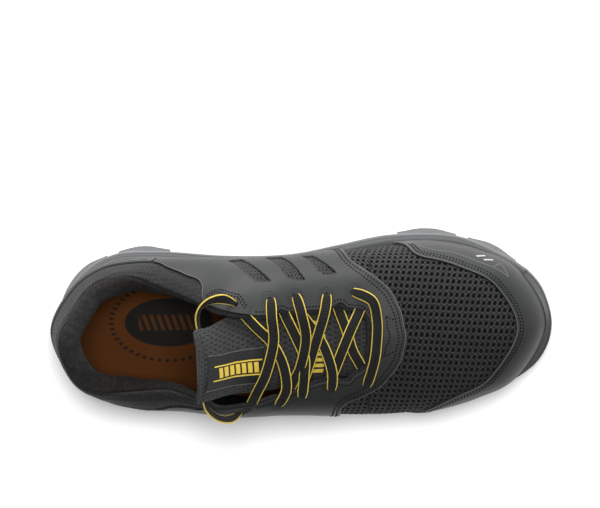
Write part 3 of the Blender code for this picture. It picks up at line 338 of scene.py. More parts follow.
LACE_HALF = ((-0.5, 0.0), (-0.47, 0.32), (-0.38, 0.5), (-0.15, 0.44), (0.15, 0.44), (0.38, 0.5), (0.47, 0.32))
LACE_FORM = (*LACE_HALF, *((-wide, -high) for wide, high in LACE_HALF))


# Curves and surfaces of the solids


def catmull(points, place, closed=True):
    """Points on the smooth curve through the rows of points. Place 2.5 is halfway from row 2 to row 3."""
    points = np.asarray(points, float)
    place = np.asarray(place, float)
    count = len(points)
    if not closed:
        place = np.clip(place, 0, count - 1.000001)
    row = np.floor(place).astype(int)
    share = (place - row)[..., None]
    rows = [row - 1, row, row + 1, row + 2]
    rows = [r % count if closed else np.clip(r, 0, count - 1) for r in rows]
    a, b, c, d = (points[r] for r in rows)
    bend = 2 * a - 5 * b + 4 * c - d + (3 * b - a - 3 * c + d) * share
    return 0.5 * (2 * b + (c - a + bend * share) * share)


def eased(table, x):
    """A smooth curve through (x, value) rows that never overshoots them."""
    xs, ys = np.asarray(table, float).T
    slopes = np.gradient(ys, xs)
    steps = np.diff(ys)
    turning = np.concatenate([[True], steps[:-1] * steps[1:] <= 0, [True]])
    slopes[turning] = 0
    row = np.clip(np.searchsorted(xs, x) - 1, 0, len(xs) - 2)
    width = xs[row + 1] - xs[row]
    t = np.clip((x - xs[row]) / width, 0, 1)
    start = ys[row] * (1 + 2 * t) * (1 - t) ** 2 + slopes[row] * width * t * (1 - t) ** 2
    return start + ys[row + 1] * t**2 * (3 - 2 * t) - slopes[row + 1] * width * t**2 * (1 - t)


def smooth_step(low, high, value):
    share = np.clip((np.asarray(value, float) - low) / (high - low), 0, 1)
    return share * share * (3 - 2 * share)


def unit(vectors):
    return vectors / np.linalg.norm(vectors, axis=-1, keepdims=True)


def lengths(points):
    """Distance along a line of points, from its start to each of them."""
    return np.concatenate([[0], np.cumsum(np.linalg.norm(np.diff(points, axis=0), axis=-1))])


def resample(points, at):
    """Points of a line at given distances along it."""
    run = lengths(points)
    return np.stack([np.interp(at, run, points[:, k]) for k in range(points.shape[1])], -1)


def tread_height(x):
    return eased([(along * LENGTH / 2, tread) for along, tread, _ in SOLE_PROFILE], x)


def seat_height(x):
    return eased([(along * LENGTH / 2, seat) for along, _, seat in SOLE_PROFILE], x)


def outsole_top(x):
    return tread_height(x) + OUTSOLE_RIM


OUTLINE_POINTS = [(along * HALF_LENGTH, across * HALF_WIDTH) for along, across in SOLE_OUTLINE]
OUTLINE_PLACES = np.linspace(0, len(OUTLINE_POINTS), 1201)


def outline(place):
    return catmull(OUTLINE_POINTS, place)


def outline_normal(place):
    """The level direction that points out of the sole's edge."""
    step = outline(np.asarray(place) + 0.01) - outline(np.asarray(place) - 0.01)
    return unit(np.stack([-step[..., 1], step[..., 0]], -1))


def place_at(x, side):
    """Where the sole's edge on the medial (1) or the lateral (-1) side passes x."""
    ahead = OUTLINE_PLACES <= TOE_PLACE
    branch = OUTLINE_PLACES[ahead] if side > 0 else OUTLINE_PLACES[~ahead][::-1]
    return np.interp(x, outline(branch)[:, 0], branch)


def spine(points):
    """The point on the sole's middle line that each edge point is drawn towards."""
    x = np.clip(points[:, 0], -0.74 * HALF_LENGTH, 0.72 * HALF_LENGTH)
    middle = (outline(place_at(x, 1))[:, 1] + outline(place_at(x, -1))[:, 1]) / 2
    return np.stack([x, middle], -1)


def level_ring(places, share, offset, height):
    """A closed ring of the sole: share draws the edge towards the middle line, offset moves it out."""
    edge = outline(places) + outline_normal(places) * offset
    middle = spine(edge)
    flat = middle + (edge - middle) * share
    return np.column_stack([flat, height(flat[:, 0])])


def section_points():
    """The four control points of each section's curve, foot to top line, and the top edge's thickness."""
    half, wide = LENGTH / 2, BALL_WIDTH / 2
    rows = []
    for foot, side, top, across, top_z, belly, rise, reach, drop, pad in UPPER_SECTIONS:
        if side:
            place = place_at(foot * half, side)
        else:
            place = 0 if foot < 0 else TOE_PLACE
        normal = outline_normal(place)
        base = outline(place) - normal * FOOT_INSET
        base = np.array([*base, seat_height(base[0]) + GAP])
        peak = np.array([top * half, across * wide, top_z * INSTEP_HEIGHT])
        swell = base + np.array([*(normal * belly), rise * (peak[2] - base[2])])
        turn = peak + reach * (swell - peak)
        turn[2] = peak[2] - drop
        rows.append(np.concatenate([base, swell, turn, peak, [pad]]))
    return np.array(rows)


SECTION_POINTS = section_points()


def upper_point(place, up):
    """A point on the upper's outer form."""
    place, up = np.broadcast_arrays(np.asarray(place, float), np.asarray(up, float))
    row = catmull(SECTION_POINTS, place)
    base, swell, turn, peak = (row[..., i : i + 3] for i in (0, 3, 6, 9))
    t = up[..., None]
    return base * (1 - t) ** 3 + 3 * swell * t * (1 - t) ** 2 + 3 * turn * t**2 * (1 - t) + peak * t**3


def upper_normal(place, up):
    """The direction out of the upper's form, level at the foot."""
    step = 0.01
    low, high = np.clip(np.asarray(up, float) - step, 0, 1), np.clip(np.asarray(up, float) + step, 0, 1)
    along = upper_point(np.asarray(place) + step, up) - upper_point(np.asarray(place) - step, up)
    normal = np.cross(upper_point(place, high) - upper_point(place, low), along)
    normal[..., 2] *= smooth_step(0.0, 0.12, up)
    return unit(normal)


def upper_wall(place, up):
    """The wall's thickness: hard and thick at the toe, padded at the collar, thin elsewhere."""
    pad = catmull(SECTION_POINTS, place)[..., 12]
    hard = smooth_step(11, 13, place) * (1 - smooth_step(15, 17, place))
    hard = (TOE_WALL - WALL) * hard * (1 - smooth_step(0.50, 0.72, up))
    return WALL + (pad - WALL) * smooth_step(0.35, 0.80, up) + hard


def upper_offset(place, up, distance):
    return upper_point(place, up) + upper_normal(place, up) * np.asarray(distance)[..., None]


def nearby(place, up, along, across):
    """The place and height reached by going millimetres along the sections and square to that, upwards."""
    step = 0.01
    by_place = (upper_point(place + step, up) - upper_point(place - step, up)) / (2 * step)
    by_up = (upper_point(place, up + step) - upper_point(place, up - step)) / (2 * step)
    stride = np.linalg.norm(by_place, axis=-1)
    lean = (by_up * by_place).sum(-1) / stride
    rise = across / np.sqrt((by_up**2).sum(-1) - lean**2)
    return place + (along - lean * rise) / stride, up + rise


def beside(places, ups, distance):
    """A line beside one on the upper, that many millimetres to its left as seen from outside."""
    line = upper_point(places, ups)
    tangent = unit(np.gradient(line, axis=0))
    first = unit(upper_point(places + 0.01, ups) - upper_point(places - 0.01, ups))
    second = np.cross(upper_normal(places, ups), first)
    second *= np.sign((second * (upper_point(places, ups + 0.01) - line)).sum(-1))[:, None]
    along, across = (tangent * first).sum(-1), (tangent * second).sum(-1)
    return nearby(places, ups, -across * distance, along * distance)


def rand_edge(place):
    return eased(RAND_EDGE, place)


def rand_edge_within(place):
    """The rand's edge along the rand, and a height below the foot elsewhere."""
    inside = (place > RAND_EDGE[0][0]) & (place < RAND_EDGE[-1][0])
    return np.where(inside, rand_edge(place), -0.3)


def scallop(place):
    """How far the eyestay's edge dips below the top line."""
    dips = [depth * np.exp(-(((place - at) / (0.6 * half)) ** 2)) for at, half, depth in SCALLOPS]
    return np.sum(dips, 0)


def saddle_front(place):
    return eased(SADDLE_FRONT, place)


def saddle_top(place):
    return eased(SADDLE_TOP, place) - scallop(place)


def counter_edge(place):
    return eased(COUNTER_EDGE, place)


def foot_line(place):
    return np.full_like(place, OVERLAY_FOOT)


def columns_for(start, end, step, *edges):
    """Places from start to end, close enough that no edge runs further than step between two of them."""
    dense = np.linspace(start, end, 4000)
    run = [np.linalg.norm(np.diff(upper_point(dense, edge(dense)), axis=0), axis=1) for edge in edges]
    total = np.concatenate([[0], np.cumsum(np.max(run, 0))])
    return np.interp(np.linspace(0, total[-1], int(total[-1] / step) + 1), total, dense)


def tongue_frame(place):
    """Middle, up direction and sizes of the tongue at a place along it."""
    rows = np.array(TONGUE_SECTIONS)
    row = catmull(rows, place, closed=False)
    ahead = catmull(rows, np.asarray(place) + 0.05, closed=False)[..., :3]
    along = unit(ahead - catmull(rows, np.asarray(place) - 0.05, closed=False)[..., :3])
    return row, unit(np.stack([along[..., 2], np.zeros_like(along[..., 0]), -along[..., 0]], -1))


def tongue_point(place, across, depth):
    """A point of the tongue: across in half widths, depth below its top face in millimetres."""
    row, up = tongue_frame(place)
    width = np.asarray(across) * row[..., 3]
    arch = row[..., 5]
    sag = arch - np.sqrt(arch**2 - width**2)
    out = np.stack([up[..., 0] * width / arch, width / arch, up[..., 2]], -1)
    point = row[..., :3] + up * -sag[..., None]
    point[..., 1] += width
    return point - out * np.asarray(depth)[..., None]


# Making meshes


def only(obj):
    """Makes one object the only selected and the active one."""
    bpy.ops.object.select_all(action="DESELECT")
    obj.select_set(True)
    bpy.context.view_layer.objects.active = obj


def lay_grid(name, points, uv=None, around=False):
    """A grid primitive laid on rows of points. Around closes each row on itself."""
    if around:
        points = np.concatenate([points, points[:, :1]], 1)
    if uv is None:
        uv = cloth_uv(points)
    rows, columns = points.shape[:2]
    bpy.ops.object.select_all(action="DESELECT")
    bpy.ops.mesh.primitive_grid_add(x_subdivisions=columns - 1, y_subdivisions=rows - 1, calc_uvs=True)
    obj = bpy.context.active_object
    obj.name = obj.data.name = name
    mesh = obj.data
    mesh.vertices.foreach_set("co", (points * MM).astype(np.float32).ravel())
    corners = np.empty(len(mesh.loops), int)
    mesh.loops.foreach_get("vertex_index", corners)
    mesh.uv_layers.active.name = "cloth"
    mesh.uv_layers["cloth"].data.foreach_set("uv", uv.reshape(-1, 2)[corners].astype(np.float32).ravel())
    mesh.update()
    return obj


def cloth_uv(points):
    """UV in millimetres: along the rows by length along the middle one, and up each column by its length."""
    u = lengths(points[len(points) // 2])
    steps = np.linalg.norm(np.diff(points, axis=0), axis=2)
    v = np.concatenate([np.zeros((1, points.shape[1])), np.cumsum(steps, 0)])
    return np.stack([np.broadcast_to(u, v.shape), v], -1)


def close(obj, angle=40.0):
    """Merges the seams of a laid grid, fills its open ends and turns its faces outwards."""
    only(obj)
    bpy.ops.object.mode_set(mode="EDIT")
    bpy.ops.mesh.select_all(action="SELECT")
    bpy.ops.mesh.remove_doubles(threshold=2e-6)
    bpy.ops.mesh.select_all(action="SELECT")
    bpy.ops.mesh.fill_holes(sides=0)
    bpy.ops.mesh.select_all(action="SELECT")
    bpy.ops.mesh.normals_make_consistent(inside=False)
    bpy.ops.object.mode_set(mode="OBJECT")
    bpy.ops.object.shade_smooth_by_angle(angle=math.radians(angle))
    return obj


def modify(obj, kind, **settings):
    """Adds a modifier with its settings and applies it."""
    only(obj)
    bpy.ops.object.modifier_add(type=kind)
    modifier = obj.modifiers[-1]
    for key, value in settings.items():
        setattr(modifier, key, value)
    bpy.ops.object.modifier_apply(modifier=modifier.name)
    return obj


def join(name, pieces):
    only(pieces[0])
    for piece in pieces[1:]:
        piece.select_set(True)
    bpy.ops.object.join()
    joined = bpy.context.active_object
    joined.name = joined.data.name = name
    return joined


def cut(pieces, cutter):
    """Takes the cutter's form out of each piece, and removes the cutter."""
    for piece in pieces:
        modify(piece, "BOOLEAN", operation="DIFFERENCE", solver="EXACT", object=cutter)
    bpy.data.objects.remove(cutter)


def sweep(name, path, wide, up, profile, width, thick):
    """A closed band along a path: profile rows are shares of the width and of the thickness at each point."""
    profile = np.asarray(profile, float)
    width, thick = (np.broadcast_to(np.asarray(v, float), len(path))[:, None, None] for v in (width, thick))
    points = path[:, None] + wide[:, None] * profile[None, :, :1] * width
    points = points + up[:, None] * profile[None, :, 1:] * thick
    return close(lay_grid(name, points, around=True))


def circle(sides):
    turns = np.linspace(0, 2 * math.pi, sides, endpoint=False)
    return np.stack([np.cos(turns), np.sin(turns)], -1)


def carried(path, wide, roll):
    """Across and up directions carried both ways from the middle of a path, then rolled by degrees."""
    along = unit(np.gradient(path, axis=0))
    middle = len(path) // 2
    across = np.empty_like(path)
    for order in (range(middle, len(path)), range(middle, -1, -1)):
        last = np.asarray(wide, float)
        for i in order:
            last = last - along[i] * last.dot(along[i])
            last = last / np.linalg.norm(last)
            across[i] = last
    up = np.cross(across, along)
    angle = np.radians(np.broadcast_to(np.asarray(roll, float), len(path)))[:, None]
    return across * np.cos(angle) + up * np.sin(angle), up * np.cos(angle) - across * np.sin(angle)


def normals_along(places, ups, run, at):
    """Directions out of the upper at distances along a line on it, whose own points lie at run."""
    normals = upper_normal(places, ups)
    return unit(np.stack([np.interp(at, run, normals[:, k]) for k in range(3)], -1))


def surface_ridge(name, places, ups, height, width, thick):
    """A low ridge along a line on the upper, its middle at that height above the form."""
    line = upper_offset(places, ups, np.full(len(places), height))
    run = lengths(line)
    at = np.linspace(0, run[-1], max(4, int(run[-1] / RIDGE_STEP)))
    line = resample(line, at)
    normal = normals_along(places, ups, run, at)
    along = unit(np.gradient(line, axis=0))
    return sweep(name, line, unit(np.cross(along, normal)), normal, circle(6), width / 2, thick / 2)


def vectors_of(items, key):
    """A vector of each vertex or face of a mesh, such as its place or its normal."""
    values = np.empty(len(items) * 3, np.float32)
    items.foreach_get(key, values)
    return values.reshape(-1, 3)


def copies(name, corners, faces):
    """One object of many like patches: the corners of each in metres, and the faces of one."""
    count = corners.shape[1]
    all_faces = [[v + i * count for v in face] for i in range(len(corners)) for face in faces]
    mesh = bpy.data.meshes.new(name)
    mesh.from_pydata(corners.reshape(-1, 3), [], all_faces)
    obj = bpy.data.objects.new(name, mesh)
    bpy.context.scene.collection.objects.link(obj)
    only(obj)
    return obj


def tile(name, template, places, axes):
    """Copies of a small mesh as one object: its X, Y and Z are turned to axes and moved to places."""
    corners = vectors_of(template.data.vertices, "co")
    points = places[:, None] * MM + np.einsum("vk,nkc->nvc", corners, axes)
    obj = copies(name, points, [list(face.vertices) for face in template.data.polygons])
    bpy.data.objects.remove(template)
    bpy.ops.object.shade_smooth()
    return obj


def dress(obj, materials, slot, *nodes):
    """Gives a piece its material or materials, puts it under the root and hides the solids it stands for. The
    slot is not used.
    """
    for material in materials if isinstance(materials, list) else [materials]:
        obj.data.materials.append(material)
    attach(obj, "root")
    if nodes:
        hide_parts(*nodes)
    return obj


# Materials


class Wire:
    """One output in a material's nodes. Arithmetic on it adds Math nodes."""

    def __init__(self, finish, socket):
        self.finish = finish
        self.socket = socket

    def out(self, key):
        return Wire(self.finish, self.socket.node.outputs[key])

    def __add__(self, other):
        return self.finish.math("ADD", self, other)

    def __radd__(self, other):
        return self.finish.math("ADD", other, self)

    def __sub__(self, other):
        return self.finish.math("SUBTRACT", self, other)

    def __rsub__(self, other):
        return self.finish.math("SUBTRACT", other, self)

    def __mul__(self, other):
        return self.finish.math("MULTIPLY", self, other)

    def __rmul__(self, other):
        return self.finish.math("MULTIPLY", other, self)

    def __truediv__(self, other):
        return self.finish.math("DIVIDE", self, other)


class Finish:
    """A material in the making."""

    def __init__(self, name, **constants):
        self.material = bpy.data.materials.new(name)
        self.material.use_nodes = True
        self.tree = self.material.node_tree
        self.shader = self.tree.nodes["Principled BSDF"]
        for key, value in constants.items():
            self.set(key.replace("_", " ").title().replace("Ior", "IOR"), value)

    def node(self, kind, settings=None, sockets=None, out=0):
        """Any node: its type, its settings, the values or wires of its sockets, and the output wanted."""
        node = self.tree.nodes.new(kind)
        for key, value in (settings or {}).items():
            setattr(node, key, value)
        for key, value in (sockets or {}).items():
            self.feed(node.inputs[key], value)
        return Wire(self, node.outputs[out])

    def feed(self, socket, value):
        if isinstance(value, Wire):
            self.tree.links.new(value.socket, socket)
        else:
            socket.default_value = value

    def set(self, key, value):
        """Sets or wires a socket of the shader."""
        if not isinstance(value, Wire) and hasattr(value, "__len__"):
            value = (*tuple(value)[:3], 1.0)
        self.feed(self.shader.inputs[key], value)

    def math(self, operation, first, second=0.0):
        return self.node("ShaderNodeMath", {"operation": operation}, {0: first, 1: second})

    def spot(self):
        return self.node("ShaderNodeTexCoord", out="Object")

    def cloth(self):
        return self.node("ShaderNodeUVMap", {"uv_map": "cloth"})

    def split(self, vector):
        """The X and Y of a vector."""
        x = self.node("ShaderNodeSeparateXYZ", sockets={0: vector})
        return x, x.out(1)

    def attribute(self, name):
        return self.node("ShaderNodeAttribute", {"attribute_name": name}, out="Fac")

    def noise(self, vector, scale, detail=2.0, rough=0.5):
        sockets = {"Vector": vector, "Scale": scale, "Detail": detail, "Roughness": rough}
        return self.node("ShaderNodeTexNoise", sockets=sockets)

    def cells(self, vector, scale):
        return self.node("ShaderNodeTexVoronoi", sockets={"Vector": vector, "Scale": scale}, out="Distance")

    def wave(self, value, pitch):
        """0 to 1 and back once in each pitch."""
        return self.math("SINE", value * (2 * math.pi / pitch)) * 0.5 + 0.5

    def step(self, low, high, value):
        sockets = {"Value": value, "From Min": low, "From Max": high}
        return self.node("ShaderNodeMapRange", {"interpolation_type": "SMOOTHSTEP"}, sockets)

    def mix(self, share, first, second):
        colours = [c if isinstance(c, Wire) else (*tuple(c)[:3], 1.0) for c in (first, second)]
        return self.node("ShaderNodeMix", {"data_type": "RGBA"}, {0: share, 6: colours[0], 7: colours[1]}, 2)

    def tones(self, share, colour, low, high):
        """A mix of two shades of one colour."""
        return self.mix(share, shade(colour, low), shade(colour, high))

    def done(self, rough, relief, depth):
        """Sets how rough the surface is and its relief, that deep in metres, and gives the material."""
        self.set("Roughness", rough)
        self.set("Normal", self.node("ShaderNodeBump", sockets={"Height": relief, "Distance": depth}))
        return self.material


def shade(colour, factor):
    return tuple(min(1.0, c * factor) for c in tuple(colour)[:3])


def panel_finish(name, colour):
    """Smooth coated synthetic with a fine pressed grain."""
    f = Finish(name, specular_ior_level=0.42)
    spot = f.spot()
    cloud = f.noise(spot, 45.0, 3.0)
    grain = f.cells(spot, 1500.0)
    fine = f.noise(spot, 2600.0, 2.0)
    f.set("Base Color", f.tones(cloud, colour, 0.86, 1.14))
    return f.done(rough=0.44 + 0.10 * cloud + 0.08 * fine, relief=grain * 0.6 + fine * 0.4, depth=0.00012)


def rubber_finish(name, colour):
    """Moulded rubber, matt with a faint pebble."""
    f = Finish(name, specular_ior_level=0.40)
    spot = f.spot()
    cloud = f.noise(spot, 30.0, 4.0)
    pebble = f.noise(spot, 1800.0, 2.0)
    f.set("Base Color", f.tones(cloud, colour, 0.80, 1.22))
    return f.done(rough=0.50 + 0.16 * cloud, relief=pebble, depth=0.00015)


def tread_finish(name, colour):
    """Rubber with fine tread ribs on what faces down."""
    f = Finish(name, specular_ior_level=0.28)
    spot = f.spot()
    x, y = f.split(spot)
    cloud = f.noise(spot, 30.0, 4.0)
    pebble = f.noise(spot, 1800.0, 2.0)
    facing = f.node("ShaderNodeNewGeometry", out="True Normal")
    down = f.node("ShaderNodeSeparateXYZ", sockets={0: facing}, out=2)
    ribs = f.wave((x + y * 0.35) * 1000.0, 3.2) * f.step(0.6, 0.9, down * -1.0)
    f.set("Base Color", f.tones(cloud, colour, 0.80, 1.25))
    return f.done(rough=0.48 + 0.16 * cloud, relief=pebble * 0.3 + ribs, depth=0.0004)


def knit_finish(name, colour, pitch=2.0, dash=3.6, heather=0.5, dark=0.30):
    """Heathered knit: short darker dashes in rows that are set off from one another."""
    f = Finish(name, specular_ior_level=0.2, sheen_weight=0.08, sheen_roughness=0.5)
    u, v = f.split(f.cloth())
    row = f.math("FLOOR", v / dash)
    shift = f.math("MODULO", row, 2.0) * (0.5 * pitch)
    across = f.wave(v - 0.25 * dash, dash)
    along = f.wave(u + shift + v * 0.15, pitch)
    gap = f.step(0.58, 0.88, along) * f.step(0.08, 0.36, across)
    spot = f.spot()
    flecks = f.noise(spot, 520.0, 3.0, 0.7)
    cloud = f.noise(spot, 40.0, 2.0)
    light = f.step(0.38, 0.66, flecks) * heather + cloud * 0.35
    yarn = f.tones(light, colour, 0.68, 1.75)
    f.set("Base Color", f.mix(gap, yarn, shade(colour, dark)))
    return f.done(rough=0.76 + 0.14 * flecks, relief=1.0 - gap + flecks * 0.35, depth=0.0004)


def lining_finish(name, colour, deep):
    """Brushed lining with a short, flecked nap. Painted shade makes it darker deep in the shoe, and painted
    orange bounce light from the footbed makes it browner there.
    """
    f = Finish(name, specular_ior_level=0.12, sheen_weight=0.04, sheen_roughness=0.45)
    spot = f.spot()
    nap = f.noise(spot, 1500.0, 4.0, 0.75)
    flecks = f.noise(spot, 330.0, 3.0, 0.7)
    cloud = f.noise(spot, 28.0, 2.0)
    share = f.step(0.34, 0.70, flecks) * 0.6 + f.step(0.45, 0.75, nap) * 0.4
    lining_tone = f.tones(share * 0.8 + cloud * 0.2, colour, 0.55, 1.7)
    painted_shade = f.tones(share, deep, 0.6, 1.6)
    height = f.node("ShaderNodeSeparateXYZ", sockets={0: spot}, out=2)
    # Painted shade: the lining keeps its own colour above 90 mm and takes the darker, browner shade colour
    # below 52 mm, for the shade deep in the shoe and the footbed's orange bounce light
    f.set("Base Color", f.mix(f.step(0.052, 0.090, height), painted_shade, lining_tone))
    return f.done(rough=0.86 + 0.10 * nap, relief=nap + flecks * 0.8, depth=0.0005)


def open_mesh_finish(name, colour):
    """Air mesh: twisted yarn round holes, with painted shade inside the holes."""
    f = Finish(name, specular_ior_level=0.30, sheen_weight=0.04, sheen_roughness=0.5)
    spot = f.spot()
    x, y = f.split(spot)
    depth = f.attribute("depth")
    twist = f.wave((x + y) * 1000.0, 0.62) * f.wave((x - y) * 1000.0, 0.62)
    flecks = f.noise(spot, 700.0, 3.0, 0.7)
    yarn = f.tones(f.step(0.3, 0.7, flecks) * 0.6 + twist * 0.4, colour, 0.70, 2.3)
    # Painted shade: the walls, floors and corner pin holes of the holes go nearly black by the depth
    # attribute, for the shade inside them
    f.set("Base Color", f.mix(f.step(0.06, 0.50, depth), yarn, shade(colour, 0.05)))
    return f.done(rough=0.60 + 0.15 * flecks + 0.25 * depth, relief=twist + flecks * 0.4, depth=0.00022)


def lace_finish(name, colour, rib):
    """Flat woven lace: cross ribs with a fine herringbone over them, the ribs' light and the hollows' shade
    painted in.
    """
    f = Finish(name, specular_ior_level=0.22, sheen_weight=0.08, sheen_roughness=0.4)
    u, v = f.split(f.cloth())
    ribs = f.wave(v, rib)
    slant = f.wave(v + u * 0.5, 0.55)
    flecks = f.noise(f.spot(), 1100.0, 3.0, 0.7)
    # Painted highlight and shade: the ribs are painted up to 4.2 times the lace's colour and the hollows
    # between them down to 0.3 times, as if lit and shaded
    light = f.step(0.25, 0.85, ribs) * 0.7 + slant * 0.12 + flecks * 0.25
    f.set("Base Color", f.tones(light, colour, 0.3, 4.2))
    return f.done(rough=0.70 + 0.15 * flecks, relief=ribs + slant * 0.2 + flecks * 0.3, depth=0.0002)


def cord_finish(name, colour):
    """Thin bright cord along the lace's edges, with the twist of its strands."""
    f = Finish(name, specular_ior_level=0.35, sheen_weight=0.08)
    u, v = f.split(f.cloth())
    twist = f.wave(v + u * 0.6, 0.8)
    flecks = f.noise(f.spot(), 900.0, 2.0)
    f.set("Base Color", f.tones(twist * 0.65 + flecks * 0.35, colour, 0.72, 1.1))
    return f.done(rough=0.5 + 0.15 * flecks, relief=twist, depth=0.00015)


def thread_finish(name, colour):
    """Sewing thread with a faint fuzz."""
    f = Finish(name, specular_ior_level=0.12)
    flecks = f.noise(f.spot(), 1400.0, 2.0)
    f.set("Base Color", f.tones(flecks, colour, 0.6, 1.5))
    return f.done(rough=0.55 + 0.2 * flecks, relief=flecks, depth=0.0001)


def footbed_finish(name, colour, mark):
    """Brushed cloth with a dark oval under the heel, plain stripes in it and a ring of ticks round it."""
    f = Finish(name, specular_ior_level=0.15, sheen_weight=0.04, sheen_roughness=0.5)
    spot = f.spot()
    x, y = f.split(spot)
    nap = f.noise(spot, 1300.0, 4.0, 0.7)
    cloud = f.noise(spot, 26.0, 3.0)
    long = (x + 0.082) / 0.027
    wide = (y - 0.005) / 0.0150
    ring = long * long + wide * wide + (nap - 0.5) * 0.05
    oval = 1.0 - f.step(0.96, 1.04, ring)
    far = f.math("SQRT", long * long * 0.62 + wide * wide * 0.42)
    ticks = f.wave(f.math("ARCTAN2", wide * 0.65, long * 0.79), 2 * math.pi / 46)
    ticks = f.step(0.45, 0.6, ticks) * f.step(0.975, 0.990, far) * (1.0 - f.step(1.060, 1.075, far))
    stripes = f.wave((x + (y - 0.005) * 0.35) * 1000.0, 4.4)
    stripes = f.step(0.40, 0.52, stripes) * (1.0 - f.step(0.30, 0.34, f.math("ABSOLUTE", wide)))
    stripes = stripes * (1.0 - f.step(0.66, 0.70, f.math("ABSOLUTE", long)))
    cloth = f.tones(nap * 0.6 + cloud * 0.4, colour, 0.72, 1.25)
    dark = f.tones(nap, mark, 0.6, 1.6)
    f.set("Base Color", f.mix(f.math("MAXIMUM", oval * (1.0 - stripes * 0.8), ticks * 0.85), cloth, dark))
    return f.done(rough=0.84 + 0.1 * nap - 0.1 * oval, relief=nap, depth=0.0003)


def print_finish(name, colour):
    """A printed or welded mark, with slight wear."""
    f = Finish(name, specular_ior_level=0.4)
    wear = f.noise(f.spot(), 420.0, 4.0, 0.7)
    f.set("Base Color", f.mix(f.step(0.35, 0.7, wear), shade(colour, 0.86), colour))
    return f.done(rough=0.5 + 0.12 * wear, relief=wear, depth=0.00008)


def floor_finish(name, colour):
    """Matt pale paper with a faint glow of its own."""
    f = Finish(name, specular_ior_level=0.1, emission_color=(1.0, 1.0, 1.0), emission_strength=FLOOR_GLOW)
    cloud = f.noise(f.spot(), 3.0, 2.0)
    f.set("Base Color", f.mix(cloud, shade(colour, 0.99), colour))
    f.set("Roughness", 0.9 + 0.05 * cloud)
    return f.material


# Stage


def add_camera(sizes):
    """The camera at the photograph's angle."""
    tilt = sizes.camera_tilt
    back = Vector((0, math.sin(tilt), math.cos(tilt)))
    up = Vector((0, math.cos(tilt), -math.sin(tilt)))
    bpy.ops.object.camera_add(location=Vector(CAMERA_AIM) + back * sizes.camera_distance)
    camera = bpy.context.active_object
    camera.name = "camera"
    camera.rotation_euler = Matrix((Vector((1, 0, 0)), up, back)).transposed().to_euler()
    camera.data.lens = sizes.camera_lens / MM
    camera.data.sensor_width = SENSOR_WIDTH
    camera.data.clip_start = NEAREST_SEEN
    bpy.context.scene.camera = camera


def add_floor(colours):
    """The pale floor under the lowest point of the solids."""
    bpy.ops.object.select_all(action="DESELECT")
    level = (0, 0, CAD_BOX[0][2])
    bpy.ops.mesh.primitive_grid_add(x_subdivisions=8, y_subdivisions=8, size=FLOOR_SIZE, location=level)
    floor = bpy.context.active_object
    floor.name = "floor"
    floor.data.materials.append(floor_finish("floor_white", colours.floor))
    return floor


def add_lights(floor):
    """Soft area lights, one of them for the floor alone, and a faint even light all round."""
    floor_group = bpy.data.collections.new("floor_group")
    floor_group.objects.link(floor)
    for name, place, width, height, power, floor_alone in LIGHTS:
        bpy.ops.object.light_add(type="AREA", location=place)
        light = bpy.context.active_object
        light.name = name
        light.data.shape = "RECTANGLE"
        light.data.size, light.data.size_y = width, height
        light.data.energy = power
        if floor_alone:
            light.light_linking.receiver_collection = floor_group
        light.rotation_euler = (Vector(LIGHT_AIM) - Vector(place)).to_track_quat("-Z", "Y").to_euler()
    world = bpy.data.worlds.new("studio")
    world.use_nodes = True
    background = world.node_tree.nodes["Background"].inputs
    background["Color"].default_value = (1.0, 1.0, 1.0, 1.0)
    background["Strength"].default_value = WORLD_GLOW
    bpy.context.scene.world = world


def make_stage(sizes, colours):
    """The camera, a pale floor and soft studio light."""
    add_camera(sizes)
    add_lights(add_floor(colours))
    bpy.context.scene.view_settings.view_transform = "Standard"


# Laces


def lace_strand(name, points, sizes, holes, roll):
    """One ribbed strand with bright cords along its edges. Holes says which ends go into an eyelet."""
    line = catmull(points, np.linspace(0, len(points) - 1, 600), closed=False)
    total = lengths(line)[-1]
    at = np.linspace(0, total, int(total / 0.33))
    path = resample(line, at)
    along = unit(np.gradient(path, axis=0))
    roll = np.interp(at / total, np.linspace(0, 1, len(roll)), roll)
    middle = len(path) // 2
    wide, up = carried(path, np.cross(along[middle], (0, 0, 1.0)), roll)
    narrow = np.ones(len(path))
    for end, into in zip((at, total - at), holes):
        if into:
            narrow *= LACE_PINCH + (1 - LACE_PINCH) * smooth_step(*PINCHED_FROM, end)
    cord = sizes.edge_cord / MM
    width = sizes.lace_width / MM - cord
    ribs = 1 + LACE_RIB_RELIEF * np.sin(at * 2 * math.pi / (sizes.lace_rib / MM))
    band = sweep(name, path, wide, up, LACE_FORM, width * narrow, sizes.lace_thick / MM * ribs / narrow**0.5)
    edges = []
    pick = slice(0, None, 3)
    for side in (-1, 1):
        edge = path + wide * (side * width / 2 * narrow)[:, None]
        edges.append(sweep(f"{name}_edge", edge[pick], wide[pick], up[pick], circle(7), cord / 2, cord / 2))
    return band, edges


def eyelet_end(number):
    """Points from inside the upper up through an eyelet."""
    place, up = EYELETS[number]
    centre, normal = upper_point(place, up), upper_normal(place, up)
    return [tuple(centre + normal * height) for height in EYELET_RISE]


def tucked_end(points):
    """Points that carry on from a strand's end to lie under the eyestay."""
    last, before = np.array(points[-1]), np.array(points[-2])
    along = unit(last - before)
    return [tuple(last + along * on + (0, 0, up)) for on, up in LACE_TUCK]


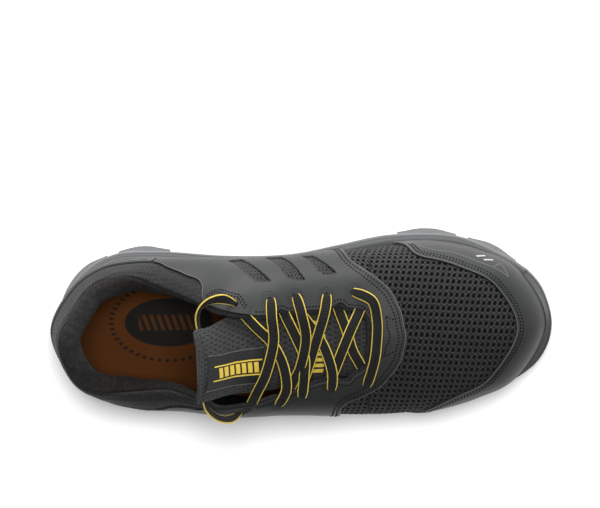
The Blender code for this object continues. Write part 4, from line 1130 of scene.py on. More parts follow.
def make_laces(sizes, colours):
    """The bar, the four crossings and the free loop, all their edge cords as one piece."""
    lace = lace_finish("lace_weave", colours.lace, sizes.lace_rib / MM)
    amber = cord_finish("lace_cord", colours.amber)
    edges = []

    def strand(name, points, holes, node, roll=(0,)):
        band, cords = lace_strand(name, points, sizes, holes, roll)
        edges.extend(cords)
        return dress(band, lace, "lace_black", node)

    bar = [*eyelet_end(4), *LACE_BAR[1:-1], *reversed(eyelet_end(9))]
    strand("lace_bar_weave", bar, (True, True), "lace_bar")
    for number, (over, under) in enumerate(LACE_CROSSINGS, 1):
        node = f"lace_cross_{number}"
        for part, points, first in (("over", over, 5 - number), ("under", under, 10 - number)):
            if number == 1:
                start = list(reversed(tucked_end(points[::-1])))
                line = [*start, *points, *tucked_end(points)]
            else:
                line = [*eyelet_end(first), *points[1:], *tucked_end(points)]
            strand(f"{node}_{part}_weave", line, (number > 1, False), node)
    loop_line = [*eyelet_end(0)[1:], *LACE_LOOP[1:-1], *reversed(eyelet_end(5)[1:])]
    loop = strand("lace_loop_weave", loop_line, (True, True), "lace_loop", LOOP_ROLL)
    dress(join("lace_edges", edges), amber, "lace_black")
    route = catmull(loop_line, np.linspace(0, len(loop_line) - 1, 60), closed=False) * MM


# Upper


def from_heel(place):
    """A place counted both ways from the back of the heel."""
    return (place + AROUND / 2) % AROUND - AROUND / 2


def lining_roll(place):
    """How much thicker the lining's padding is at a place."""
    return eased(LINING_ROLL, from_heel(place))


def collar_share(place):
    """1 round the padded collar, 0 along the throat."""
    around = np.minimum(place % AROUND, AROUND - place % AROUND)
    return 1 - smooth_step(4.6, 5.3, around)


def bare_cloth(place, up):
    """1 where the collar's cloth shows above the counter and behind the saddle."""
    wrapped = np.where(place < TOE_COLUMN, place + AROUND, place)
    start, end = COUNTER_EDGE[0][0], COUNTER_EDGE[-1][0]
    rear = counter_edge(np.clip(wrapped, start, end))
    on_counter = (wrapped > start - 0.02) & (wrapped < end + 0.02)
    edge = np.where(on_counter, rear, eased(SADDLE_TOP, place))
    return collar_share(place) * smooth_step(edge + 0.01, edge + 0.14, up)


def sunk(place, up):
    """How far the shell lies below its form, under the open mesh and under the vents."""
    low, high = rand_edge_within(place), saddle_front(place)
    vamp = smooth_step(low - 0.12, low - 0.06, up) * (1 - smooth_step(high + 0.02, high + 0.07, up))
    vents = smooth_step(5.0, 5.2, place) * (1 - smooth_step(9.05, 9.2, place))
    vents = vents * smooth_step(0.22, 0.28, up) * (1 - smooth_step(0.74, 0.79, up))
    return SUNK_UNDER_VAMP * vamp + np.where(vamp > 0.01, 0, SUNK_UNDER_VENTS * vents)


def shell_section(place):
    """One section of the shell, from its outer foot over the rim to its inner foot, and its crest's row."""
    top = 1 - scallop(place)
    share = np.linspace(0, 1, 90)
    outside = np.full_like(share, place)
    puff = COLLAR_PUFF * bare_cloth(outside, top * share) * (1 - smooth_step(0.93, 1.0, share))
    outer = upper_offset(outside, top * share, puff - sunk(outside, top * share))
    rim, normal = upper_point(place, top), upper_normal(place, top)
    edge = unit(rim - upper_point(place, top - 0.02))
    radius = upper_wall(place, top) / 2
    roll = lining_roll(np.asarray(place))
    level = np.cos(RIM_TURNS) * (radius + roll * (RIM_TURNS > math.pi / 2))
    rim = rim - normal * (radius - level)[:, None] + edge * (radius * np.sin(RIM_TURNS))[:, None]
    share = np.linspace(1, 0, 60)
    inset = upper_wall(outside[:60], top * share) + roll * smooth_step(0.10, 0.72, share)
    inner = upper_offset(outside[:60], top * share, -inset)
    return np.vstack([outer, rim, inner]), len(outer) + len(rim) // 2


def make_upper(sizes, colours):
    """The hollow shell: cloth outside, a padded collar with its seam, and the lining inside."""
    columns = []
    for place in np.linspace(0, AROUND, SHELL_COLUMNS + 1):
        section, crest = shell_section(place)
        run = lengths(section)
        seam = run[crest] - eased(SEAM_BEFORE_RIM, from_heel(place))
        outside = np.linspace(0, seam - SEAM_BAND, OUTER_ROWS)
        inside = np.linspace(seam + SEAM_BAND, run[-1], INNER_ROWS)
        at = np.concatenate([outside, seam + SEAM_ROWS, inside])
        column = resample(section, at)
        tangent = unit(np.gradient(column, axis=0))
        along = upper_point(place + 0.01, 0.9) - upper_point(place - 0.01, 0.9)
        inward = unit(np.cross(along, tangent))
        groove = sizes.seam_depth / MM * np.exp(-(((at - seam) / SEAM_WIDTH) ** 2))
        columns.append(column + inward * (groove * collar_share(np.asarray(place)))[:, None])
    points = np.array(columns).transpose(1, 0, 2)
    points = np.concatenate([points, points[:1]])
    shell = lay_grid("upper_cloth", points)
    lined = np.arange(len(points) - 1) >= OUTER_ROWS + len(SEAM_ROWS) // 2 - 1
    shell.data.polygons.foreach_set("material_index", np.repeat(lined.astype(np.int32), SHELL_COLUMNS))
    close(shell, 60.0)
    cloth = knit_finish("collar_knit", colours.knit)
    lining = lining_finish("collar_lining", colours.lining, colours.lining_painted_shade)
    dress(shell, [cloth, lining], "mesh_black", "upper")


# Open mesh


def station_line(x, side, places, ups, form):
    """Where the plane at x meets one side of the form, from its foot up. Rows: place, up, y, z."""
    half = places <= TOE_COLUMN if side > 0 else places >= TOE_COLUMN
    places, form = places[half], form[half]
    hits = []
    if x < THROAT_END:
        for number, up in enumerate(ups):
            row = form[np.argsort(form[:, number, 0]), number]
            if row[0, 0] <= x <= row[-1, 0]:
                place = np.interp(x, row[:, 0], np.sort(places)[::side])
                hits.append((place, up, *(np.interp(x, row[:, 0], row[:, k]) for k in (1, 2))))
        return np.array(hits)
    for place, column in zip(places[::side], form[::side]):
        run = np.maximum.accumulate(-column[:, 0])
        if run[0] <= -x <= run[-1]:
            up = np.interp(-x, run, ups)
            hits.append((place, up, *(np.interp(up, ups, column[:, k]) for k in (1, 2))))
    return np.array(hits)


def vamp_table():
    """The upper's form in cloth lengths: by x along the shoe and by length across from the middle column."""
    stations = np.arange(VAMP_FROM, VAMP_TO, 1.0)
    across = np.arange(-VAMP_HALF_GIRTH, VAMP_HALF_GIRTH + 0.5, 1.0)
    places = np.linspace(*VAMP_PLACES, 420)
    ups = np.linspace(0, 1, 161)
    form = upper_point(places[:, None], ups[None])
    table = np.full((len(stations), len(across), 5), np.nan)
    feet = {}
    for row in range(len(stations) - 1, -1, -1):
        x = stations[row]
        for side in (1, -1):
            part = station_line(x, side, places, ups, form)
            if len(part) < 4:
                continue
            foot = part[0].copy()
            foot[3] -= BELOW_FOOT
            foot[1] = BELOW_FOOT_UP
            part = np.vstack([foot, part])
            run = lengths(part[:, 2:])
            if x >= THROAT_END:
                feet[side] = run[-1]
            t = side * (feet[side] - run)
            order = np.argsort(t)
            inside = (across >= t.min()) & (across <= t.max()) & (across * side >= 0)
            for k, column in enumerate((2, 3, 0, 1)):
                table[row, inside, k + 1] = np.interp(across[inside], t[order], part[order, column])
            table[row, inside, 0] = x
    return stations, across, table


def look_up(stations, across, table, spots):
    """Rows of the table at (x, length across) spots, between its own rows. Not a number outside the form."""
    i = np.clip((spots[..., 0] - stations[0]), 0, len(stations) - 1.001)
    j = np.clip((spots[..., 1] - across[0]), 0, len(across) - 1.001)
    a, b = np.floor(i).astype(int), np.floor(j).astype(int)
    s, t = (i - a)[..., None], (j - b)[..., None]
    low = table[a, b] * (1 - t) + table[a, b + 1] * t
    high = table[a + 1, b] * (1 - t) + table[a + 1, b + 1] * t
    return low * (1 - s) + high * s


def cell_template(pitch, hole, pin):
    """A mesh cell: a hole in its middle, a quarter pin hole at each corner. Rows: x, y, height, and depth,
    which is how much painted shade a point gets.
    """
    half = np.array(pitch) / 2
    side = [(-1, -1), (-1 + pin, -1), (0, -1), (1 - pin, -1)]
    rim = []
    for turn in range(4):
        angle = math.radians(90 * turn)
        c, s = round(math.cos(angle)), round(math.sin(angle))
        rim += [(x * c - y * s, x * s + y * c) for x, y in side]
    rim = np.array(rim)
    around = unit(rim * half) * HOLE_RATIO
    number = np.arange(CELL_SIDES)
    corner = number % 4 == 0
    rib = np.isin(number, (6, 14))
    link = np.isin(number, (2, 10))
    height = np.select([corner, rib, link], [CELL_CORNER, CELL_RIB, CELL_LINK], CELL_REST)
    even = np.ones(CELL_SIDES)
    rings = [np.column_stack([rim * half, height, corner * CELL_CORNER_SHADE])]
    for share, level, dark in CELL_RINGS:
        rings.append(np.column_stack([around * hole * share, even * level, even * dark]))
    return np.vstack(rings)


def cell_faces():
    """Faces of a mesh cell: three rings of quads, and the floor of its hole."""
    faces = []
    for ring in range(3):
        for i in range(CELL_SIDES):
            after = (i + 1) % CELL_SIDES
            low, high = ring * CELL_SIDES, (ring + 1) * CELL_SIDES
            faces.append([low + i, low + after, high + after, high + i])
    return [*faces, list(range(3 * CELL_SIDES, 4 * CELL_SIDES))]


def mesh_of_cells(name, points, depth):
    """One object of welded mesh cells, with the painted shade of each corner as an attribute named depth."""
    obj = copies(name, points * MM, cell_faces())
    depths = obj.data.attributes.new("depth", "FLOAT", "POINT")
    depths.data.foreach_set("value", depth.astype(np.float32).ravel())
    bpy.ops.object.mode_set(mode="EDIT")
    bpy.ops.mesh.select_all(action="SELECT")
    bpy.ops.mesh.remove_doubles(threshold=5e-6)
    bpy.ops.object.mode_set(mode="OBJECT")
    bpy.ops.object.shade_smooth()
    return obj


def make_vamp(sizes, colours):
    """The open air mesh over the toe, its edges tucked under the rand and the saddle."""
    pitch = np.array([sizes.hole_pitch_along, sizes.hole_pitch_across]) / MM
    stations, across, table = vamp_table()
    i, j = np.meshgrid(np.arange(MESH_ROWS), np.arange(-MESH_REACH, MESH_REACH + 1), indexing="ij")
    along = MESH_START + i * pitch[0] + j * MESH_SKEW * pitch[1]
    centres = np.stack([along, j * pitch[1] - ROW_LEAN * (along - LEAN_FROM)], -1).reshape(-1, 2)
    template = cell_template(pitch, sizes.hole_size / MM, MESH_PIN)
    skew = template[:, :2].copy()
    skew[:, 0] += template[:, 1] * MESH_SKEW
    skew[:, 1] -= skew[:, 0] * ROW_LEAN
    spots = centres[:, None] + skew[None]
    rows = look_up(stations, across, table, spots)
    middle = rows.mean(1)
    with np.errstate(invalid="ignore"):
        keep = ~np.isnan(rows).any((1, 2))
        keep &= middle[:, 4] > rand_edge_within(middle[:, 3]) - UNDER_RAND
        keep &= middle[:, 4] < saddle_front(middle[:, 3]) + UNDER_SADDLE
    rows = rows[keep]
    place, up = rows[..., 3], rows[..., 4]
    normal = upper_normal(place, np.clip(up, 0.02, 0.98))
    points = rows[..., :3] + normal * template[None, :, 2:3]
    # how much painted shade each point of the cells gets
    depth = np.broadcast_to(template[:, 3], points.shape[:2])
    vamp = mesh_of_cells("vamp_mesh", points, depth)
    dress(vamp, open_mesh_finish("vamp_yarn", colours.yarn), "mesh_black")


def vent_outline(rear, front, tip, corner):
    """A slanted leaf, in places and heights: straight long sides, and a swollen end from tip to corner."""
    rear, front, tip, corner = (np.array(p) for p in (rear, front, tip, corner))
    t = np.linspace(0, 1, 9)[:, None]
    swell = np.array([0, VENT_SWELL]) * 4 * t * (1 - t)
    end = (tip + (corner - tip) * t + swell)[:-1]
    back = corner + (rear - corner) * (0.10 + 0.90 * t)
    return np.vstack([front + (tip - front) * t[:-1], end, back])


def in_outline(edge, spots):
    """Which spots lie inside a closed line."""
    inside = np.zeros(len(spots), bool)
    for (x0, y0), (x1, y1) in zip(edge, np.roll(edge, -1, 0)):
        crosses = (y0 > spots[:, 1]) != (y1 > spots[:, 1])
        with np.errstate(divide="ignore", invalid="ignore"):
            inside ^= crosses & (spots[:, 0] < x0 + (spots[:, 1] - y0) * (x1 - x0) / (y1 - y0))
    return inside


def make_vents(sizes, colours):
    """Fine mesh behind the three vents of the medial quarter."""
    pitch = np.array([sizes.vent_pitch, sizes.vent_pitch * VENT_CELL_RATIO]) / MM
    template = cell_template(pitch, sizes.vent_pitch / MM * VENT_HOLE, VENT_PIN)
    template[:, 2] *= VENT_RELIEF
    made = []
    for number, leaf in enumerate(VENTS):
        edge = vent_outline(*leaf)
        low, high = edge.min(0), edge.max(0)
        middle = (low + high) / 2
        reach = np.linalg.norm(upper_point(*high) - upper_point(*low)) / 2 + 6
        steps = np.ceil(reach / pitch).astype(int)
        i, j = np.meshgrid(*(np.arange(-n, n + 1) for n in steps), indexing="ij")
        centres = np.stack([i * pitch[0], j * pitch[1]], -1).reshape(-1, 2)
        spots = centres[:, None] + template[None, :, :2]
        place, up = nearby(middle[0], middle[1], spots[..., 0], spots[..., 1])
        centre = edge.mean(0)
        middles = np.stack([place.mean(1), up.mean(1)], -1)
        inside = in_outline(centre + (edge - centre) * VENT_SPREAD, middles)
        place, up = place[inside], up[inside]
        heights = np.broadcast_to(template[:, 2] + VENT_LIFT, place.shape)
        # how much painted shade each point of the cells gets
        depth = np.broadcast_to(template[:, 3], place.shape)
        made.append(mesh_of_cells(f"vent_mesh_{number}", upper_offset(place, up, heights), depth))
    dress(join("vent_mesh", made), open_mesh_finish("vent_yarn", shade(colours.yarn, 1.3)), "mesh_black")


# Panels, marks and stitches


def plate(name, places, lows, highs, base, thick, rows=18):
    """A closed sheet on the upper between two lines, with rounded edges."""
    stride = np.linalg.norm(upper_point(places, lows + 0.02) - upper_point(places, lows), axis=-1) / 0.02
    turn = np.minimum(PANEL_EDGE / stride, 0.3 * (highs - lows))
    top = base + thick
    low, high = lows + turn, highs - turn
    profile = [(lows, base)]
    profile += [(lows + aside * turn, top - down * PANEL_EDGE) for aside, down in PANEL_ROUNDING]
    profile += [(low + (high - low) * share, top) for share in np.linspace(0, 1, rows)]
    profile += [(highs - aside * turn, top - down * PANEL_EDGE) for aside, down in reversed(PANEL_ROUNDING)]
    profile += [(highs + (lows - highs) * share, base) for share in np.linspace(0, 1, 9)]
    points = np.array([upper_offset(places, up, np.full_like(places, height)) for up, height in profile])
    return close(lay_grid(name, points), 50.0)


def eyelet_cutter():
    """Pins through every eyelet and through the tab's spare hole."""
    pins = []
    for (place, up), bore in [*((spot, EYELET_BORE) for spot in EYELETS), (SPARE_HOLE, SPARE_BORE)]:
        centre, axis = upper_point(place, up), upper_normal(place, up)
        bpy.ops.mesh.primitive_cylinder_add(vertices=28, radius=bore / 2 * MM, depth=PIN_LENGTH * MM)
        pin = bpy.context.active_object
        turn = Vector((0, 0, 1)).rotation_difference(Vector(axis)).to_matrix().to_4x4()
        pin.data.transform(Matrix.Translation(Vector(centre) * MM) @ turn)
        pins.append(pin)
    return join("eyelet_pins", pins)


def vent_cutter():
    """Leaves through the saddle at the three vents."""
    leaves = []
    for number, leaf in enumerate(VENTS):
        edge = vent_outline(*leaf)
        rings = [upper_offset(edge[:, 0], edge[:, 1], np.full(len(edge), height)) for height in VENT_CUT]
        leaves.append(close(lay_grid(f"vent_{number}", np.array(rings), around=True)))
    return join("vent_leaves", leaves)


def make_panels(sizes, colours):
    """Toe rand, saddle, heel counter and the two eyelet tabs, with eyelets and vents cut."""
    panel = panel_finish("coated_panel", colours.panel)
    grey = "synthetic_grey"
    places = columns_for(RAND_EDGE[0][0], RAND_EDGE[-1][0], RAND_STEP, rand_edge)
    rand = plate("toe_rand_panel", places, foot_line(places), rand_edge(places), GAP, OVERLAY)
    dress(rand, panel_finish("rand_panel", shade(colours.panel, 1.05)), grey, "toe_rand")
    places = columns_for(SADDLE_FRONT[0][0], SADDLE_FRONT[-1][0], SADDLE_STEP, saddle_front, saddle_top)
    saddle = plate("saddle_panel", places, saddle_front(places), saddle_top(places), GAP, OVERLAY, 26)
    places = columns_for(COUNTER_EDGE[0][0], COUNTER_EDGE[-1][0], COUNTER_STEP, counter_edge)
    counter = plate("counter_panel", places, foot_line(places), counter_edge(places), GAP, OVERLAY)
    dress(counter, panel_finish("counter_panel", shade(colours.panel, 1.6)), grey, "heel_counter")
    tabs = []
    for side, edge in TAB_EDGES.items():
        places = np.linspace(edge[0][0], edge[-1][0], 60)
        lows, highs = eased(edge, places), np.full_like(places, OVERLAY_TOP) - scallop(places)
        tabs.append(plate(f"tab_{side}_panel", places, lows, highs, PANEL_TOP + GAP, TAB, 14))
    cut([saddle], vent_cutter())
    cut([saddle, *tabs, bpy.data.objects["upper_cloth"]], eyelet_cutter())
    dress(saddle, panel, grey, "saddle")
    for side, tab in zip(TAB_EDGES, tabs):
        dress(tab, panel_finish(f"tab_{side}", shade(colours.panel, 0.95)), grey, f"eyelet_tab_{side}")


def emboss_eyelets(colours):
    """Two pressed arches below each eyelet that has no tab."""
    lines = []
    turns = np.radians(np.linspace(180, 360, 25))
    for number, (place, up) in enumerate(EYELETS):
        if number in TABBED_EYELETS:
            continue
        for reach, wide in EMBOSSED_ARCHES:
            along = np.concatenate([[-wide, -wide], np.cos(turns) * wide, [wide, wide]])
            across = np.concatenate([ARCH_ARMS, np.sin(turns) * reach, ARCH_ARMS[::-1]])
            route = nearby(place, up, along, across)
            lines.append(surface_ridge("emboss", *route, PANEL_TOP - EMBOSS_SINK, EMBOSS_WIDTH, EMBOSS_THICK))
    finish = panel_finish("embossed_panel", shade(colours.panel, 0.9))
    dress(join("eyelet_embossing", lines), finish, "synthetic_grey")


def mark_edge_highlights(colours):
    """A painted highlight along each panel's edge: a pale grey line just beside it."""
    edges = []
    for edge, start, end, side in (
        (rand_edge, 10.15, 17.75, -1), (saddle_front, 8.45, 19.95, 1), (counter_edge, 24.72, 31.28, -1),
        (saddle_top, 3.40, 5.12, -1), (saddle_top, 22.88, 24.60, -1),
    ):
        places = columns_for(start, end, 0.8, edge)
        route = beside(places, edge(places), side * EDGE_HIGHLIGHT_IN)
        height = PANEL_TOP - EDGE_HIGHLIGHT_SINK
        edges.append(surface_ridge("edge", *route, height, EDGE_HIGHLIGHT_WIDTH, EDGE_HIGHLIGHT_THICK))
    # Painted highlight: the pale grey stands in for the light each panel's edge catches
    finish = print_finish("painted_edge_highlight", shade(colours.print_grey, 0.9))
    dress(join("painted_edge_highlights", edges), finish, "synthetic_grey")


def mark_rand(colours):
    """The light line on the medial rand with its bent end, and the two dashes behind it."""
    line = catmull(RAND_LINE, np.linspace(0, 4, 90), closed=False)
    end = np.array(RAND_LINE_END)
    end = resample(end, np.linspace(0, lengths(end)[-1], 40))
    parts = ((line, RAND_LINE_WIDTH), (end, RAND_END_WIDTH))
    light = [surface_ridge("accent", *part.T, PANEL_TOP, width, RAND_LINE_THICK) for part, width in parts]
    dress(join("rand_line", light), print_finish("line_grey", colours.print_grey), "synthetic_grey")
    dashes = []
    for start, end in RAND_DASHES:
        dash = np.linspace(start, end, 8).T
        dashes.append(surface_ridge("dash", *dash, PANEL_TOP, DASH_WIDTH, DASH_THICK))
    dress(join("rand_dashes", dashes), print_finish("dash_white", colours.print_white), "synthetic_grey")


def make_marks(sizes, colours):
    """Embossed lines, painted highlights along the panels' edges, and the light line and dashes on the medial
    rand.
    """
    emboss_eyelets(colours)
    mark_edge_highlights(colours)
    mark_rand(colours)


def stitch_run(places, ups, height, pitch):
    """Middles, directions and normals of stitches along a line on the upper."""
    line = upper_offset(places, ups, np.full(len(places), height))
    run = lengths(line)
    at = np.arange(pitch / 2, run[-1], pitch)
    spots = resample(line, at)
    along = unit(resample(line, at + 0.2) - resample(line, at - 0.2))
    return spots, along, normals_along(places, ups, run, at)


def make_stitching(sizes, colours):
    """Every row of stitches on the panels, as one piece of thread."""
    rows = []
    for edge, start, end, asides in (
        (rand_edge, 10.3, 17.6, (-2.4, -4.4)), (saddle_front, 8.5, 19.85, (2.2, 4.6)),
        (saddle_top, 6.9, 21.1, (-1.9,)), (counter_edge, 24.8, 31.2, (-1.9,)),
    ):
        places = columns_for(start, end, 1.0, edge)
        rows += [(*beside(places, edge(places), aside), PANEL_TOP) for aside in asides]
    for edge in TAB_EDGES.values():
        places = np.linspace(edge[0][0] + 0.06, edge[-1][0] - 0.06, 80)
        rows += [(*beside(places, eased(edge, places), aside), PANEL_TOP + GAP + TAB) for aside in (1.6, 3.3)]
    mark = np.array(THROAT_STITCHES)
    mark = resample(mark, np.linspace(0, lengths(mark)[-1], 120))
    rows.append((*mark.T, PANEL_TOP))
    pitch = sizes.stitch_pitch / MM
    runs = [stitch_run(places, ups, height + STITCH_LIFT, pitch) for places, ups, height in rows]
    spots, along, normal = (np.concatenate(part) for part in zip(*runs))
    bpy.ops.object.select_all(action="DESELECT")
    bpy.ops.mesh.primitive_uv_sphere_add(segments=6, ring_count=4, radius=1.0)
    stitch = bpy.context.active_object
    half = (sizes.stitch_length / 2, STITCH_HALF_WIDTH * MM, STITCH_HALF_HEIGHT * MM)
    stitch.data.transform(Matrix.Diagonal((*half, 1)))
    axes = np.stack([along, np.cross(normal, along), normal], 1)
    thread = tile("stitching", stitch, spots, axes)
    dress(thread, thread_finish("thread_black", colours.thread), "synthetic_grey")


# Tongue


def hump(place, start, length):
    """0 at the ends of a stretch of the tongue, 1 in its middle."""
    return np.sin(np.clip((place - start) / length, 0, 1) * math.pi)


def make_tongue(sizes, colours):
    """The padded tongue with rounded corners, its folded top strip and the seam below it."""
    places = np.concatenate([np.linspace(0, 6.4, 90), np.linspace(6.4, len(TONGUE_SECTIONS) - 1, 90)[1:]])
    turns = np.linspace(0, 2 * math.pi, 72, endpoint=False)
    across = np.sign(np.cos(turns)) * np.abs(np.cos(turns)) ** 0.7
    level = np.sign(np.sin(turns)) * np.abs(np.sin(turns)) ** 0.6
    middle = tongue_frame(places)[0]
    run = lengths(middle[:, :3])
    to_corner = np.clip(TONGUE_CORNER - (run[-1] - run), 0, TONGUE_CORNER)
    drawn_in = TONGUE_CORNER - np.sqrt(TONGUE_CORNER**2 - to_corner**2)
    rows = []
    for place, (half, thick), inset in zip(places, middle[:, 3:5], drawn_in):
        at = np.full(len(turns), place)
        face = np.clip(level, 0, 1)
        seam = np.exp(-(((place - TONGUE_SEAM[0]) / TONGUE_SEAM[1]) ** 2)) * TONGUE_SEAM[2] * face
        fold = hump(place, *TONGUE_FOLD[:2]) ** 0.7 * TONGUE_FOLD[2] * face
        puff = hump(place, *TONGUE_PUFF[:2]) * TONGUE_PUFF[2] * face
        depth = thick / 2 * (1 - level) + seam - fold - puff
        rows.append(tongue_point(at, across * (1 - inset / half), depth))
    tongue = close(lay_grid("tongue_pad", np.array(rows), around=True), 60.0)
    cloth = knit_finish("tongue_cloth", shade(colours.knit, 1.9), 2.7, 3.5, 0.30, 0.48)
    dress(tongue, cloth, "tongue_knit", "tongue")


def patch_point(along, across, height):
    """A point over the tongue by shares of the patch's length, from its front, and of its width."""
    place = PATCH_ALONG[0] + (PATCH_ALONG[1] - PATCH_ALONG[0]) * along
    low, high = (front + (rear - front) * along for front, rear in zip(PATCH_FRONT, PATCH_REAR))
    return tongue_point(place, low + (high - low) * across, np.full(np.shape(place), -GAP - height))


def printed(points):
    """A thin print on rows of points."""
    return modify(lay_grid("bar", points), "SOLIDIFY", thickness=PRINT_THICK * MM, offset=0.0)


def patch_bar(front, rear, low, high, slant=0.0):
    """A printed bar over the patch, in shares of its length and width. Slant moves its high side back."""
    s, t = np.meshgrid(np.linspace(0, 1, 5), np.linspace(0, 1, 12), indexing="ij")
    corners = ((front, low), (rear, low), (rear + slant, high), (front + slant, high))
    a, b, c, d = (np.array(corner)[:, None, None] for corner in corners)
    along, across = a * (1 - s) * (1 - t) + b * s * (1 - t) + c * s * t + d * (1 - s) * t
    return printed(patch_point(along, across, PATCH + PRINT_LIFT))


def make_patch(sizes, colours):
    """The smooth patch on the tongue, with a plain framed row of slanted bars, and more bars lower down."""
    along, across = np.meshgrid(np.linspace(0, 1, 44), np.linspace(0, 1, 28), indexing="ij")
    patch = lay_grid("tongue_patch_panel", patch_point(along, across, PATCH))
    modify(patch, "SOLIDIFY", thickness=PATCH * MM, offset=-1.0)
    modify(patch, "BEVEL", width=0.25 * MM, segments=2, limit_method="ANGLE")
    close(patch, 45.0)
    dress(patch, panel_finish("patch_panel", shade(colours.panel, 0.8)), "synthetic_grey", "tongue_patch")
    rims = [patch_bar(0.0, 1.0, edge, edge + PATCH_RIM) for edge in PATCH_RIMS]
    rims = close(join("patch_rims", rims), 45.0)
    dress(rims, print_finish("rim_grey", shade(colours.print_grey, 0.8)), "synthetic_grey")
    bars = [patch_bar(BARS_FRONT, BARS_REAR, edge, edge + BAR_LINE) for edge in (BARS_LOW, BARS_HIGH)]
    for start in np.arange(BARS_FRONT + 0.03, BARS_REAR - 0.10, BAR_PITCH):
        bars.append(patch_bar(start, start + BAR_WIDTH, BARS_LOW + 0.08, BARS_HIGH - 0.04, BAR_SLANT))
    first, last = LOWER_BARS_ALONG
    along, wide = np.linspace(first, last, 6), np.linspace(0, LOWER_BAR_WIDTH, 4)
    places, share = np.meshgrid(along, wide, indexing="ij")
    for start in LOWER_BARS:
        across = start + share + LOWER_BAR_SLANT * (places - first) / (last - first)
        bars.append(printed(tongue_point(places, across, np.full(places.shape, -0.12))))
    bars = close(join("tongue_bars", bars), 45.0)
    dress(bars, print_finish("bar_amber", colours.amber), "lace_black")


# Footbed and sole


def make_insole(sizes, colours):
    """The loose footbed with its raised edge."""
    places = np.linspace(0, AROUND, 200, endpoint=False)
    inset = upper_wall(places, 0.0) + FOOTBED_SLACK
    edge = upper_offset(places, np.zeros_like(places), -inset)[:, :2]
    middle = spine(edge)
    rows = []
    for share, lift in FOOTBED_SHAPE:
        flat = middle + (edge - middle) * share
        rows.append(np.column_stack([flat, seat_height(flat[:, 0]) + GAP + lift]))
    insole = close(lay_grid("insole_footbed", np.array(rows), around=True), 60.0)
    cloth = footbed_finish("footbed_cloth", colours.footbed, colours.footbed_mark)
    dress(insole, cloth, "footbed_orange", "insole")


def make_midsole(sizes, colours):
    """The foam wedge, with a rounded rib, a groove and a rim round its side."""
    places = np.linspace(0, len(OUTLINE_POINTS), 420, endpoint=False)

    def base(x):
        return outsole_top(x) + GAP

    def height_at(share):
        return lambda x: base(x) + (seat_height(x) - base(x)) * share

    rings = [level_ring(places, share, 0, base) for share in (SPINE_SHARE, 0.5)]
    for offset, share in catmull(FOAM_SIDE, np.linspace(0, len(FOAM_SIDE) - 1, 34), closed=False):
        rings.append(level_ring(places, 1.0, offset, height_at(share)))
    rings += [level_ring(places, share, 0, seat_height) for share in (0.9, 0.5, SPINE_SHARE)]
    midsole = close(lay_grid("midsole_foam", np.array(rings), around=True), 50.0)
    dress(midsole, rubber_finish("foam_grey", colours.foam), "foam_grey", "midsole")


def lug_spans():
    """Every lug as (start, end, reach) in places along the sole's edge, in order round it."""
    half = LENGTH / 2
    spans = [(place_at(start * half, 1), place_at(end * half, 1), reach) for start, end, reach in MEDIAL_LUGS]
    spans.append((place_at(TOE_WRAP[0] * half, 1), place_at(TOE_WRAP[1] * half, -1), TOE_WRAP[2]))
    for start, end, reach in reversed(LATERAL_LUGS):
        spans.append((place_at(end * half, -1), place_at(start * half, -1), reach))
    heel_end = place_at(HEEL_WRAP[0] * half, 1) + len(OUTLINE_POINTS)
    spans.append((place_at(HEEL_WRAP[1] * half, -1), heel_end, HEEL_WRAP[2]))
    return spans


def sole_columns():
    """Places round the sole that meet every lug's ends, and the reach of the lug at each, or -1 in a gap."""
    places, reaches = [], []
    spans = lug_spans()
    following = [*spans[1:], (spans[0][0] + len(OUTLINE_POINTS), None, None)]
    for (start, end, reach), after in zip(spans, following):
        for low, high, value in ((start, end, reach), (end, after[0], -1.0)):
            steps = max(2, round((high - low) / LUG_STEP))
            places.extend(np.linspace(low, high, steps + 1)[:-1])
            reaches.extend([value] * steps)
    return np.array(places), np.array(reaches)


def pick_faces(obj, chosen):
    """Selects just the chosen faces, a truth value for each, and goes into edit mode."""
    only(obj)
    mesh = obj.data
    mesh.vertices.foreach_set("select", np.zeros(len(mesh.vertices), bool))
    mesh.edges.foreach_set("select", np.zeros(len(mesh.edges), bool))
    mesh.polygons.foreach_set("select", chosen)
    bpy.ops.object.mode_set(mode="EDIT")
    bpy.ops.mesh.select_mode(type="FACE")


